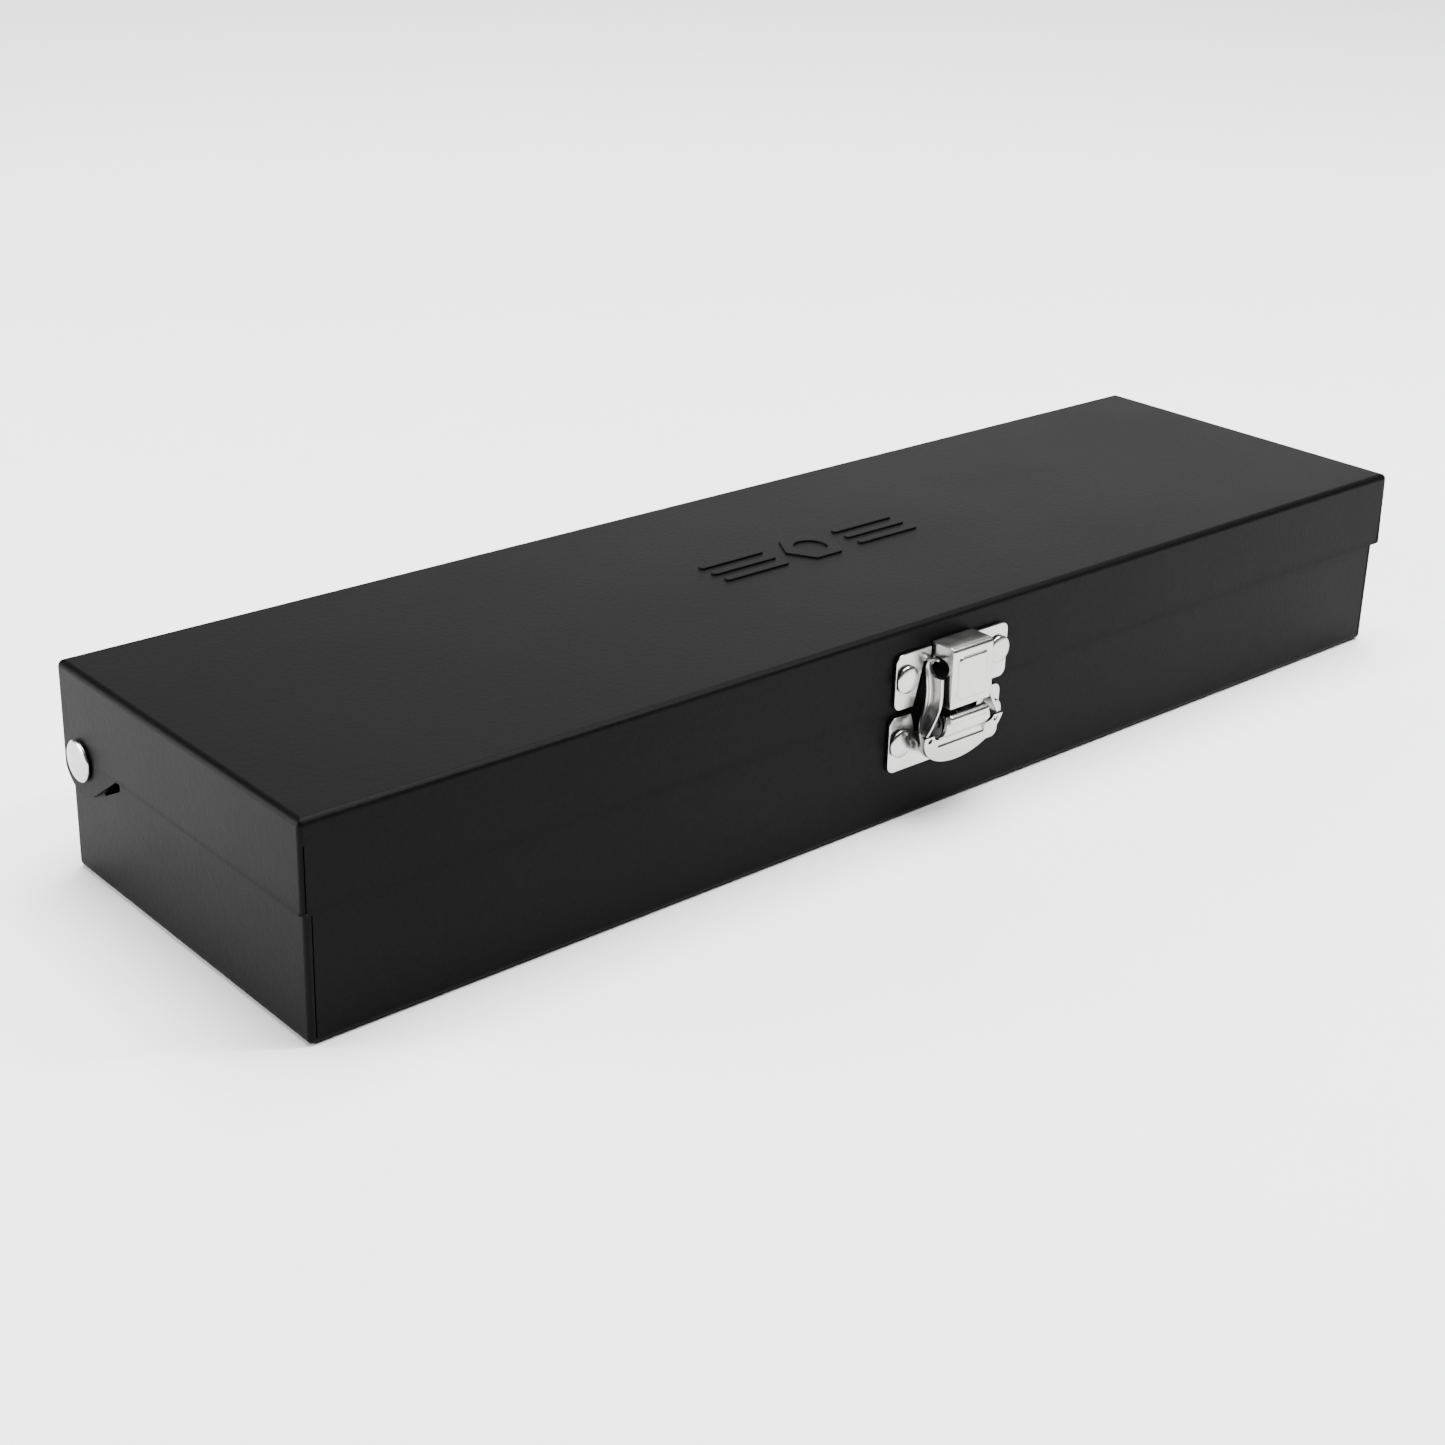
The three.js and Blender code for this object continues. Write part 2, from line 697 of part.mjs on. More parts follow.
// The round tab, leaning out towards its top, with the rolled ridge between the claws.
function handleTab() {
  const outline = [
    [tabHalfWidth, tabHigh],
    ...arcPoints(0, tabHigh, 1, 0, -180, 16).map(([x, y]) => [
      x * tabHalfWidth,
      tabHigh + (y - tabHigh) * (tabHigh - tabLow),
    ]),
    [-ridgeHalfWidth - 3.4, tabHigh],
    [-ridgeHalfWidth, tabHigh - 0.4],
    [-ridgeHalfWidth, ridgeAxis.z],
    [ridgeHalfWidth, ridgeAxis.z],
    [ridgeHalfWidth, tabHigh - 0.4],
    [ridgeHalfWidth + 3.4, tabHigh],
  ];
  const slab = prismY(outline.slice(1), -tabThickness, 0);
  const lean = new THREE.Matrix4().set(1, 0, 0, 0, 0, 1, -tabSlope, frontFace(tabOuterLow - tabThickness)
    + tabSlope * tabLow, 0, 0, 1, 0, 0, 0, 0, 1);
  const leaned = slab.transform(lean.elements);
  return leaned.add(latchRod(ridgeAxis, ridgeRadius, ridgeHalfWidth));
}

function handleEars() {
  return bothSides((side) => {
    const inner = side > 0 ? clawInner : -clawInner - clawThickness;
    const { p, z } = latchPivotLow;
    const profile = [
      ...arcPoints(p, z, latchEyeRadius, 90, 290, 10),
      [tabOuter(z - 1.4) - tabThickness / 2, z - 1.4],
      [tabOuter(z + 3) - tabThickness / 2, z + 3],
    ];
    return latchProfile(profile, inner, inner + clawThickness);
  });
}

function latchHandle() {
  const body = joined([handleTab(), clawArm(1), clawArm(-1), ...handleEars()]);
  return body.subtract(latchRod(latchPivotLow, latchPinRadius + runningGap, 20));
}

// ---- Tools -------------------------------------------------------------------------------

const squareOutline = (cx, cy, side, turn = 45) => regularPolygon(cx, cy, side / Math.SQRT2, 4, turn);
const hexOutline = (cx, cy, acrossFlats) => regularPolygon(cx, cy, acrossFlats / Math.sqrt(3), 6, 30);

// Sockets stand in one row, spaced so that the walls between them are equal.
function socketPlaces() {
  const widest = ({ outer }) => Math.max(outer, socketDriveOuter);
  const filled = socketTable.reduce((sum, row) => sum + widest(row), 0);
  const between = (2 * socketRowHalf - filled) / (socketTable.length + 1);
  let x = -socketRowHalf;
  return socketTable.map((row) => {
    const centre = x + between + widest(row) / 2;
    x += between + widest(row);
    return { ...row, x: centre, y: socketRowY, radius: widest(row) / 2 };
  });
}

function socket({ size, outer, x, y }) {
  const low = trayFloor + gap;
  const high = low + socketHeight;
  const chamfer = 1;
  const driveR = socketDriveOuter / 2;
  const nutR = outer / 2;
  const profile = [
    [0, 0],
    [driveR - chamfer, 0],
    [driveR, chamfer],
    [driveR, socketShoulder],
    [nutR, socketShoulder + Math.abs(driveR - nutR) + 1],
    [nutR, socketHeight - chamfer],
    [nutR - chamfer, socketHeight],
    [0, socketHeight],
  ];
  const body = turned(profile, plainRound, { at: [x, y, low] });
  const square = squareOutline(x, y, driveSquare + squareClearance);
  const through = Math.min(size, driveSquare) * 0.4;
  return cut(body, [
    prismZ(hexOutline(x, y, size + squareClearance), high - socketNutDepth, high + 1),
    prismZ(square, low - 1, low + socketDriveDepth),
    rod(through, low, high, smallRound, { at: [x, y, 0] }),
  ]);
}

const extensionLow = extensionX - extensionLength / 2;
const extensionHigh = extensionX + extensionLength / 2;

function extensionBar() {
  const neckX = extensionEndLength + extensionNeck;
  const shoulderX = extensionLength - driveLength;
  const collar = extensionEndRadius - 2.4;
  const profile = [
    [0, 0],
    [extensionEndRadius - 1, 0],
    [extensionEndRadius, 1],
    [extensionEndRadius, extensionEndLength],
    [extensionShaftRadius, neckX],
    [extensionShaftRadius, shoulderX - 10],
    [collar, shoulderX - 7],
    [collar, shoulderX - 1],
    [collar - 1, shoulderX],
    [0, shoulderX],
  ];
  const body = turned(profile, plainRound, { axis: "x", at: [extensionLow, extensionY, extensionZ] });
  const half = driveSquare / 2;
  const square = block(
    extensionHigh - driveLength - 1,
    extensionHigh,
    extensionY - half,
    extensionY + half,
    extensionZ - half,
    extensionZ + half,
  );
  const holeHalf = half + squareClearance / 2;
  const hole = block(
    extensionLow - 1,
    extensionLow + socketDriveDepth,
    extensionY - holeHalf,
    extensionY + holeHalf,
    extensionZ - holeHalf,
    extensionZ + holeHalf,
  );
  const seat = rod(ballRadius + runningGap, 0, 10, smallRound, {
    at: [extensionHigh - driveLength / 2, extensionY, extensionZ + half - ballRadius * 2],
  });
  return cut(body.add(square), [hole, seat]);
}

function ball(x, y, z) {
  const geometry = new THREE.SphereGeometry(ballRadius, 10, 6);
  geometry.translate(x, y, z);
  return solid(geometry);
}

const extensionBall = () =>
  ball(
    extensionHigh - driveLength / 2,
    extensionY,
    extensionZ + driveSquare / 2 + ballProud - ballRadius,
  );

const coverScrewPlaces = [180 - coverScrewAngle, 180 + coverScrewAngle].map((angle) => {
  const a = (angle * Math.PI) / 180;
  return [headAxis.x + coverScrewOffset * Math.cos(a), headAxis.y + coverScrewOffset * Math.sin(a)];
});

const leverAxisX = headAxis.x + leverOffset;
const atHead = { at: [headAxis.x, headAxis.y, 0] };
const atLever = { at: [leverAxisX, headAxis.y, 0] };

function ratchetBody() {
  const head = rod(headRadius, headLow, headHigh, largeRound, atHead);
  const shaftStart = headAxis.x + headRadius - 4;
  const shaft = turned(
    [
      [0, 0],
      [shaftRadius + 0.8, 0],
      [shaftRadius - 0.8, gripStartX - shaftStart - 8],
      [shaftRadius + 1, gripStartX - shaftStart - 2],
      [shaftRadius + 1, gripStartX - shaftStart],
      [shaftRadius - 2, gripStartX - shaftStart],
      [shaftRadius - 2, gripEndX - shaftStart - 12],
      [0, gripEndX - shaftStart - 12],
    ],
    plainRound,
    { axis: "x", at: [shaftStart, ratchetY, ratchetZ] },
  );
  const screwHole = coverScrewShank + runningGap;
  const screwLow = coverLow - coverScrewDepth - gap;
  return cut(head.add(shaft), [
    rod(gearRadius + gearRoom, headLow + headFloor, headHigh, largeRound, atHead),
    rod(pawlRoom, headLow + headFloor, headHigh, smallRound, atLever),
    rod(headRadius - headRim, coverLow - gap, headHigh + 1, largeRound, atHead),
    rod(hubRadius + runningGap, headLow - 1, headHigh, plainRound, atHead),
    ...coverScrewPlaces.map(([x, y]) => rod(screwHole, screwLow, headHigh, smallRound, { at: [x, y, 0] })),
  ]);
}

function ratchetGrip() {
  const inside = shaftRadius - 2 + gap;
  const start = gap;
  const blind = gripLength - 12 + gap;
  const profile = [
    [inside, start],
    [gripRadius - 4.2, start],
    [gripRadius - 2.4, 5],
    [gripRadius - 3.6, 14],
    [gripRadius - 0.8, 34],
    [gripRadius, 58],
    [gripRadius - 0.6, 84],
    [gripRadius - 1.6, 100],
    [gripRadius - 4, gripLength],
    [0, gripLength],
    [0, blind],
    [inside, blind],
    [inside, start],
  ];
  return turned(profile, plainRound, { axis: "x", at: [gripStartX, ratchetY, ratchetZ] });
}

function ratchetCover() {
  const radius = headRadius - headRim - gap;
  const plate = rod(radius, coverLow, headHigh, largeRound, atHead);
  const screwHoles = coverScrewPlaces.map(([x, y]) =>
    rod(coverScrewRadius + runningGap, coverLow - 1, headHigh + 1, smallRound, { at: [x, y, 0] }));
  return cut(plate, [
    rod(buttonRadius + runningGap, coverLow - 1, headHigh + 1, plainRound, atHead),
    rod(leverPinRadius + runningGap, coverLow - 1, headHigh + 1, smallRound, atLever),
    ...screwHoles,
  ]);
}

const coverScrew = ([x, y]) =>
  turned(
    [
      [0, coverLow - coverScrewDepth],
      [coverScrewShank, coverLow - coverScrewDepth],
      [coverScrewShank, coverLow],
      [coverScrewRadius, coverLow],
      [coverScrewRadius, headHigh - 0.1],
      [coverScrewRadius - 0.5, headHigh + 0.3],
      [0, headHigh + 0.3],
    ],
    smallRound,
    { at: [x, y, 0] },
  );

// The toothed wheel with the square that takes the sockets, in one piece.
function driveGear() {
  const pitch = 360 / gearTeeth;
  const outline = [];
  for (let i = 0; i < gearTeeth; i += 1) {
    const a = ((i * pitch) * Math.PI) / 180;
    const b = (((i + 0.5) * pitch) * Math.PI) / 180;
    const root = gearRadius - gearToothDepth;
    outline.push([headAxis.x + gearRadius * Math.cos(a), headAxis.y + gearRadius * Math.sin(a)]);
    outline.push([headAxis.x + root * Math.cos(b), headAxis.y + root * Math.sin(b)]);
  }
  const wheel = prismZ(outline, gearLow, gearLow + gearHeight);
  const hub = rod(hubRadius, headLow - 0.6, gearLow + 1, plainRound, atHead);
  const squareHigh = headLow - 0.1;
  const squareLow = squareHigh - driveLength;
  const square = prismZ(squareOutline(headAxis.x, headAxis.y, driveSquare), squareLow, squareHigh);
  const seat = rod(ballRadius + runningGap, 0, 10, smallRound, {
    axis: "-y",
    at: [headAxis.x, headAxis.y - driveSquare / 2 + ballRadius * 2, squareLow + driveLength / 2],
  });
  return cut(joined([wheel, hub, square]), [
    rod(buttonRadius + runningGap, gearLow + 2, gearLow + gearHeight + 1, plainRound, atHead),
    seat,
  ]);
}

const driveBall = () =>
  ball(
    headAxis.x,
    headAxis.y - driveSquare / 2 - ballProud + ballRadius,
    headLow - 0.1 - driveLength / 2,
  );

function releaseButton() {
  const low = gearLow + 2 + buttonTravel + gap;
  const high = headHigh + buttonProud;
  const profile = [
    [0, low],
    [buttonRadius, low],
    [buttonRadius, high - 0.8],
    [buttonRadius - 0.8, high],
    [0, high],
  ];
  return turned(profile, plainRound, atHead);
}

// The pawl points at the gear from the lever's axis and stops just short of the teeth.
function pawl() {
  const low = gearLow;
  const [x, y] = [leverAxisX, headAxis.y];
  const shank = leverPinRadius + 0.1;
  const tip = Math.min(pawlReach, leverOffset - gearRadius - gap);
  const outline = capsule([x, y], [x - tip / 3, y], shank - 0.6, shank - 1.2);
  return prismZ(outline, low, low + pawlHeight);
}

function reversingLever() {
  const low = headHigh + gap;
  const high = low + leverHeight;
  const [x, y] = [leverAxisX, headAxis.y];
  const hub = turned(
    [[0, low], [leverHubRadius, low], [leverHubRadius, high - 0.6], [leverHubRadius - 0.6, high], [0, high]],
    plainRound,
    atLever,
  );
  const turn = (leverAngle * Math.PI) / 180;
  const [tipX, tipY] = [x + leverLength * Math.cos(turn), y + leverLength * Math.sin(turn)];
  const arm = prismZ(capsule([x, y], [tipX, tipY], 3.2, 2.2), low, high - 0.8);
  const pin = rod(leverPinRadius, gearLow + pawlHeight + gap, low + 1, smallRound, atLever);
  return joined([hub, arm, pin]);
}

// ---- Inserts -----------------------------------------------------------------------------

const well = (radius, floor, at) => rod(radius + pocketGap, floor, trayTop + 1, largeRound, at);

function trough(x0, x1, y, half, floor, corner) {
  const reach = half + pocketGap;
  const outline = roundedRectangle(x0 - pocketGap, x1 + pocketGap, y - reach, y + reach, corner);
  return prismZ(outline, floor - pocketGap, trayTop + 1);
}

// The block in front: a pocket in the ratchet's outline, and one for the bar with a finger hole.
function toolTray() {
  const shaftHalf = shaftRadius + 1;
  const barFloor = extensionZ - extensionEndRadius;
  const fingers = { at: [extensionHigh + fingerRadius * 0.6, extensionY, 0] };
  const outline = roundedRectangle(-trayHalfX, trayHalfX, -trayHalfY, railFront - gap, trayCorner);
  return cut(prismZ(outline, trayLow, trayTop), [
    well(headRadius, headLow - gap, atHead),
    well(hubRadius + 1, trayFloor, atHead),
    trough(headAxis.x, gripStartX + 1, ratchetY, shaftHalf, ratchetZ - shaftHalf, 1),
    trough(gripStartX - 1.4, gripEndX, ratchetY, gripRadius, ratchetZ - gripRadius, 3),
    trough(extensionLow, extensionHigh, extensionY, extensionEndRadius, barFloor, 2),
    well(fingerRadius - pocketGap, barFloor - pocketGap, fingers),
  ]);
}

// A low strip with a square peg in each socket's drive end.
function socketRail() {
  const outline = roundedRectangle(-trayHalfX, trayHalfX, railFront, trayHalfY, trayCorner);
  const strip = prismZ(outline, trayLow, trayFloor);
  const side = driveSquare + squareClearance - 2 * runningGap;
  const top = trayFloor + pegHeight;
  const pegs = socketPlaces().map(({ x, y }) => {
    const ring = (z, inset) => squareOutline(x, y, side - 2 * inset).map(([px, py]) => [px, py, z]);
    return stacked([ring(trayFloor - 1, 0), ring(top - pegChamfer, 0), ring(top, pegChamfer)]);
  });
  return joined([strip, ...pegs]);
}

// ---- Assembly ----------------------------------------------------------------------------

const set = new THREE.Group();

function place(name, body, material) {
  const { vertProperties, triVerts } = body.getMesh();
  const geometry = new THREE.BufferGeometry();
  geometry.setAttribute("position", new THREE.Float32BufferAttribute(vertProperties, 3));
  geometry.setIndex(Array.from(triVerts));
  geometry.computeVertexNormals();
  const mesh = new THREE.Mesh(geometry, material());
  mesh.name = name;
  set.add(mesh);
}

place("case_base", caseBase(), powderCoat);
place("case_lid", caseLid(), powderCoat);

for (const [side, word] of [[-1, "left"], [1, "right"]]) {
  place(`hinge_rivet_${word}`, hingeRivet(side), nickel);
  place(`hinge_washer_${word}`, hingeWasher(side), nickel);
  place(`catch_rivet_${word}`, plateRivet(side, catchRivetZ, -sheet, catchPlateFront), nickel);
  place(`latch_rivet_${word}`, plateRivet(side, latchRivetZ, baseInnerY - lidHalfY, latchPlateFront), nickel);
}

place("catch_plate", catchPlate(), nickel);
place("latch_plate", latchPlate(), nickel);
place("latch_link", latchLink(), nickel);
place("latch_handle", latchHandle(), nickel);
place("latch_pin_upper", latchRod(latchPivotHigh, latchPinRadius, linkOuter + 0.6), nickel);
place("latch_pin_lower", latchRod(latchPivotLow, latchPinRadius, clawInner + clawThickness + 0.6), nickel);

place("tool_tray", toolTray(), trayPlastic);
place("socket_rail", socketRail(), trayPlastic);

for (const row of socketPlaces()) {
  place(`socket_${row.size}`, socket(row), chrome);
}

place("extension_bar", extensionBar(), chrome);
place("extension_ball", extensionBall(), darkSteel);

place("ratchet_body", ratchetBody(), chrome);
place("ratchet_grip", ratchetGrip(), gripPlastic);
place("ratchet_cover", ratchetCover(), chrome);
coverScrewPlaces.forEach((at, i) => place(`cover_screw_${i + 1}`, coverScrew(at), darkSteel));
place("drive_gear", driveGear(), darkSteel);
place("drive_ball", driveBall(), darkSteel);
place("release_button", releaseButton(), darkSteel);
place("reversing_lever", reversingLever(), darkSteel);
place("pawl", pawl(), darkSteel);

export default set;
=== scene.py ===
# %% [markdown]
# # A socket set in a folded steel case
# The case is two trays of thin black sheet, one upside down over the other, joined by a rivet at
# each side. A stamped nickel latch holds them shut. Inside, a moulded tray keeps a ratchet, an
# extension bar and ten sockets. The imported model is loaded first, because every piece made here
# takes its place from it.

# %% Load the frame
import math

import bmesh
import bpy
from mathutils import Matrix, Quaternion, Vector


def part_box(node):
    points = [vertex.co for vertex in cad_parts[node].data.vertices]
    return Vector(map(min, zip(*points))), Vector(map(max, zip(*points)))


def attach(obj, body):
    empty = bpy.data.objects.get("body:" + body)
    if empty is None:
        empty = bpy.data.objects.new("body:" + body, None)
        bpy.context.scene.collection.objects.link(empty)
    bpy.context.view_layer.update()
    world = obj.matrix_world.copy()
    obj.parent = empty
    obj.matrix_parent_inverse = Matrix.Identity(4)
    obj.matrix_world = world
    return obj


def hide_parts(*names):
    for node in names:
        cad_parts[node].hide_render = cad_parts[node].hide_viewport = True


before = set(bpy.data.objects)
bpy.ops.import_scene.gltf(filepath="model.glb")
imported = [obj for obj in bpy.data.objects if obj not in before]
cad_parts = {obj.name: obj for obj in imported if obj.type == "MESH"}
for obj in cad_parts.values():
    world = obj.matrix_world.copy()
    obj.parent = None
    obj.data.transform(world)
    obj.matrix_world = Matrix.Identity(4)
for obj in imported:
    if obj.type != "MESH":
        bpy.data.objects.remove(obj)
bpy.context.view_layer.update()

MM = 0.001

# %% [markdown]
# ## Camera
# A long, low box shows best from a corner, a little above it, with a long lens so that the far end
# doesn't shrink. The camera is placed by where it stands and what it looks at, with a small roll,
# as a camera held by hand has.

# %% Camera
CAMERA_PLACE = Vector((-0.4055, -0.4235, 0.2674))
CAMERA_AIM = Vector((-0.0321, -0.0070, 0.0505))
CAMERA_ROLL = math.radians(1.78)
CAMERA_LENS = 57.95
CAMERA_SHIFT = (-0.0087, -0.0848)

camera_data = bpy.data.cameras.new("camera")
camera_data.lens = CAMERA_LENS
camera_data.shift_x, camera_data.shift_y = CAMERA_SHIFT
camera_data.clip_start = 0.01
camera = bpy.data.objects.new("camera", camera_data)
camera.location = CAMERA_PLACE
camera.rotation_mode = "QUATERNION"
level = (CAMERA_AIM - CAMERA_PLACE).to_track_quat("-Z", "Y")
camera.rotation_quaternion = level @ Quaternion((0, 0, 1), CAMERA_ROLL)
bpy.context.scene.collection.objects.link(camera)
bpy.context.scene.camera = camera
print("camera is", round((CAMERA_AIM - CAMERA_PLACE).length, 3), "m from what it looks at")

# %% [markdown]
# ## A way to write materials as sums
# A node material soon becomes a tangle. Here a value on its way through the nodes is a `Wire`, and
# adding or multiplying wires adds the Math nodes. Every other kind of node comes from one method,
# `Recipe.node`, so a material reads as a few lines of arithmetic.

# %% Wires and recipes
class Wire:
    def __init__(self, recipe, socket):
        self.recipe = recipe
        self.socket = socket

    def __add__(self, other):
        return self.recipe.maths("ADD", self, other)

    def __sub__(self, other):
        return self.recipe.maths("SUBTRACT", self, other)

    def __rsub__(self, other):
        return self.recipe.maths("SUBTRACT", other, self)

    def __mul__(self, other):
        return self.recipe.maths("MULTIPLY", self, other)

    def __truediv__(self, other):
        return self.recipe.maths("DIVIDE", self, other)

    __radd__ = __add__
    __rmul__ = __mul__


class Recipe:
    """A node tree being written: a material's, or a geometry one."""

    def __init__(self, tree):
        self.tree = tree

    def node(self, kind, settings=None, inputs=None, output=0):
        made = self.tree.nodes.new(kind)
        settings = dict(settings or {})
        stops = settings.pop("stops", None)
        for name, value in settings.items():
            setattr(made, name, value)
        for place, (position, grey) in enumerate(stops or []):
            ramp = made.color_ramp.elements
            stop = ramp[place] if place < len(ramp) else ramp.new(position)
            stop.position = position
            stop.color = (grey, grey, grey, 1)
        for name, value in (inputs or {}).items():
            self.plug(made.inputs[name], value)
        return Wire(self, made.outputs[output])

    def maths(self, operation, first, second=0.0):
        return self.node("ShaderNodeMath", {"operation": operation}, {0: first, 1: second})

    def plug(self, socket, value):
        if isinstance(value, Wire):
            self.tree.links.new(value.socket, socket)
        else:
            socket.default_value = value


class Finish(Recipe):
    """A material with one Principled shader. Steady values go straight on the shader's sockets."""

    def __init__(self, name, **steady):
        self.material = bpy.data.materials.new(name)
        self.material.use_nodes = True
        super().__init__(self.material.node_tree)
        self.shader = self.tree.nodes["Principled BSDF"]
        for socket, value in steady.items():
            self.shader.inputs[socket.replace("_", " ")].default_value = value
        self.place = self.node("ShaderNodeTexCoord", output="Object")

    def noise(self, per_metre, detail=2.0, roughness=0.5, stretch=(1, 1, 1)):
        stretched = self.node("ShaderNodeMapping", None, {"Vector": self.place, "Scale": stretch})
        return self.node(
            "ShaderNodeTexNoise",
            None,
            {"Vector": stretched, "Scale": per_metre, "Detail": detail, "Roughness": roughness},
        )

    def ramp(self, value, low, high):
        """Black up to low, white from high on."""
        stops = [(low, 0.0), (high, 1.0)]
        return self.node("ShaderNodeValToRGB", {"stops": stops}, {"Fac": value})

    def mixed(self, amount, first, second):
        inputs = {"Factor": amount, 6: first, 7: second}
        return self.node("ShaderNodeMix", {"data_type": "RGBA"}, inputs, output=2)

    def bump(self, height, distance, strength=1.0):
        inputs = {"Height": height, "Distance": distance, "Strength": strength}
        normal = self.node("ShaderNodeBump", None, inputs)
        self.plug(self.shader.inputs["Normal"], normal)

    def set(self, **varying):
        for socket, value in varying.items():
            self.plug(self.shader.inputs[socket.replace("_", " ")], value)
        return self.material


print("finishes are written with Finish, on object coordinates")

# %% [markdown]
# ## Powder coat
# Powder coat is a plastic skin melted onto the steel. It is black and only half glossy, with an
# orange-peel texture about half a millimetre across, which breaks up highlights into fine grain.
# The grain is bump from noise at two scales, and a slow noise lets the gloss drift a little, as on a
# real batch.

# %% Powder coat
GRAIN_PER_METRE, DIMPLES_PER_METRE, DRIFT_PER_METRE = 1500, 540, 22
GRAIN_HEIGHT = 0.00009
COAT_BLACK, COAT_SPECK = (0.0012, 0.0012, 0.0013, 1), (0.0045, 0.0045, 0.0047, 1)


def powder_coat():
    coat = Finish("powder_coat", Specular_IOR_Level=0.045)
    grain = coat.noise(GRAIN_PER_METRE, detail=3.0, roughness=0.6)
    dimples = coat.noise(DIMPLES_PER_METRE, detail=1.0)
    drift = coat.noise(DRIFT_PER_METRE, detail=2.0)
    speck = coat.ramp(grain, 0.52, 0.78)
    coat.bump(grain * 0.7 + dimples * 0.6, GRAIN_HEIGHT, 0.5)
    coat.set(
        Base_Color=coat.mixed(speck * 0.5 + drift * 0.2, COAT_BLACK, COAT_SPECK),
        Roughness=0.36 + drift * 0.08 + grain * 0.1,
    )
    return coat.material


POWDER_COAT = powder_coat()
print(POWDER_COAT.name, len(POWDER_COAT.node_tree.nodes), "nodes")

# %% [markdown]
# ## Plated and bare metals
# Nickel plate on stampings is bright but soft: rolling marks in the sheet stay visible through it,
# and the tumbling drum leaves faint cloudy patches. Chrome on forged tools is a clearer mirror with
# a slight waviness. The blackened steel of pins, balls and levers is darker and satin.

# %% Metals
CLOUDS_PER_METRE, WAVES_PER_METRE = 160, 90


def plated(name, dark, light, roughness, grain, waviness, stretch):
    metal = Finish(name, Metallic=1.0)
    rolled = metal.noise(grain, detail=3.0, stretch=stretch)
    cloud = metal.noise(CLOUDS_PER_METRE, detail=3.0)
    wave = metal.noise(WAVES_PER_METRE, detail=1.0)
    metal.bump(rolled * 0.3 + wave, waviness, 0.5)
    metal.set(
        Base_Color=metal.mixed(cloud * 0.7 + rolled * 0.3, dark, light),
        Roughness=roughness + cloud * 0.12 + rolled * 0.06 - 0.09,
    )
    return metal.material


NICKEL = plated(
    "nickel", (0.34, 0.337, 0.328, 1), (0.63, 0.624, 0.61, 1), 0.24, 2600, 0.00003, (0.12, 1, 1)
)
CHROME = plated(
    "tool_chrome", (0.62, 0.63, 0.64, 1), (0.84, 0.85, 0.86, 1), 0.12, 1400, 0.00003, (1, 1, 1)
)
DARK_STEEL = plated(
    "dark_steel", (0.10, 0.10, 0.105, 1), (0.2, 0.2, 0.205, 1), 0.36, 1800, 0.00005, (1, 1, 1)
)
print("metals:", NICKEL.name, CHROME.name, DARK_STEEL.name)

# %% [markdown]
# ## Moulded plastics
# The tray and the rail are moulded in a leather-grained mould. The ratchet's grip is a denser
# plastic with a finer grain. Both are near black, so most of what the eye reads is the grain in
# their highlights. Voronoi cells give the tray its pebbles.

# %% Plastics
def moulded(name, base, lighter, roughness, pebble_per_metre, depth):
    plastic = Finish(name, Specular_IOR_Level=0.45)
    cells = plastic.node(
        "ShaderNodeTexVoronoi",
        {"feature": "SMOOTH_F1"},
        {"Vector": plastic.place, "Scale": pebble_per_metre, "Smoothness": 0.6},
        "Distance",
    )
    fine = plastic.noise(pebble_per_metre * 3.2, detail=2.0)
    drift = plastic.noise(35, detail=2.0)
    plastic.bump(fine * 0.3 - cells, depth, 0.6)
    plastic.set(
        Base_Color=plastic.mixed(cells * 0.5 + drift * 0.4, base, lighter),
        Roughness=roughness + drift * 0.12 + fine * 0.06,
    )
    return plastic.material


TRAY_PLASTIC = moulded(
    "tray_plastic", (0.012, 0.0125, 0.014, 1), (0.028, 0.029, 0.032, 1), 0.46, 1300, 0.00012
)
GRIP_PLASTIC = moulded(
    "grip_plastic", (0.010, 0.010, 0.011, 1), (0.022, 0.022, 0.024, 1), 0.4, 2200, 0.00007
)
print("plastics:", TRAY_PLASTIC.name, GRIP_PLASTIC.name)

# %% [markdown]
# ## Outlines
# Nearly every piece starts as a flat outline in millimetres: an arc, a rectangle with round
# corners, or two circles joined by their tangents. These small functions return lists of points
# that run anticlockwise.

# %% Outlines
def arc(cx, cy, radius, start, stop, steps):
    angles = (math.radians(start + (stop - start) * i / steps) for i in range(steps + 1))
    return [(cx + radius * math.cos(a), cy + radius * math.sin(a)) for a in angles]


def polygon(cx, cy, radius, sides, turn=0):
    """A regular polygon. With many sides it serves as a circle."""
    return arc(cx, cy, radius, turn, turn + 360 - 360 / sides, sides - 1)


def rounded_rectangle(x0, x1, y0, y1, radius, steps=8):
    return [
        *arc(x1 - radius, y0 + radius, radius, -90, 0, steps),
        *arc(x1 - radius, y1 - radius, radius, 0, 90, steps),
        *arc(x0 + radius, y1 - radius, radius, 90, 180, steps),
        *arc(x0 + radius, y0 + radius, radius, 180, 270, steps),
    ]


def capsule(a, b, radius_a, radius_b=None, steps=12):
    radius_b = radius_a if radius_b is None else radius_b
    along = math.degrees(math.atan2(b[1] - a[1], b[0] - a[0]))
    lean = math.degrees(math.acos((radius_a - radius_b) / math.dist(a, b)))
    far = arc(*b, radius_b, along - lean, along + lean, steps)
    near = arc(*a, radius_a, along + lean, along + 360 - lean, steps)
    return far + near


print("a 10 x 6 rectangle with 1 mm corners has", len(rounded_rectangle(0, 10, 0, 6, 1)), "points")

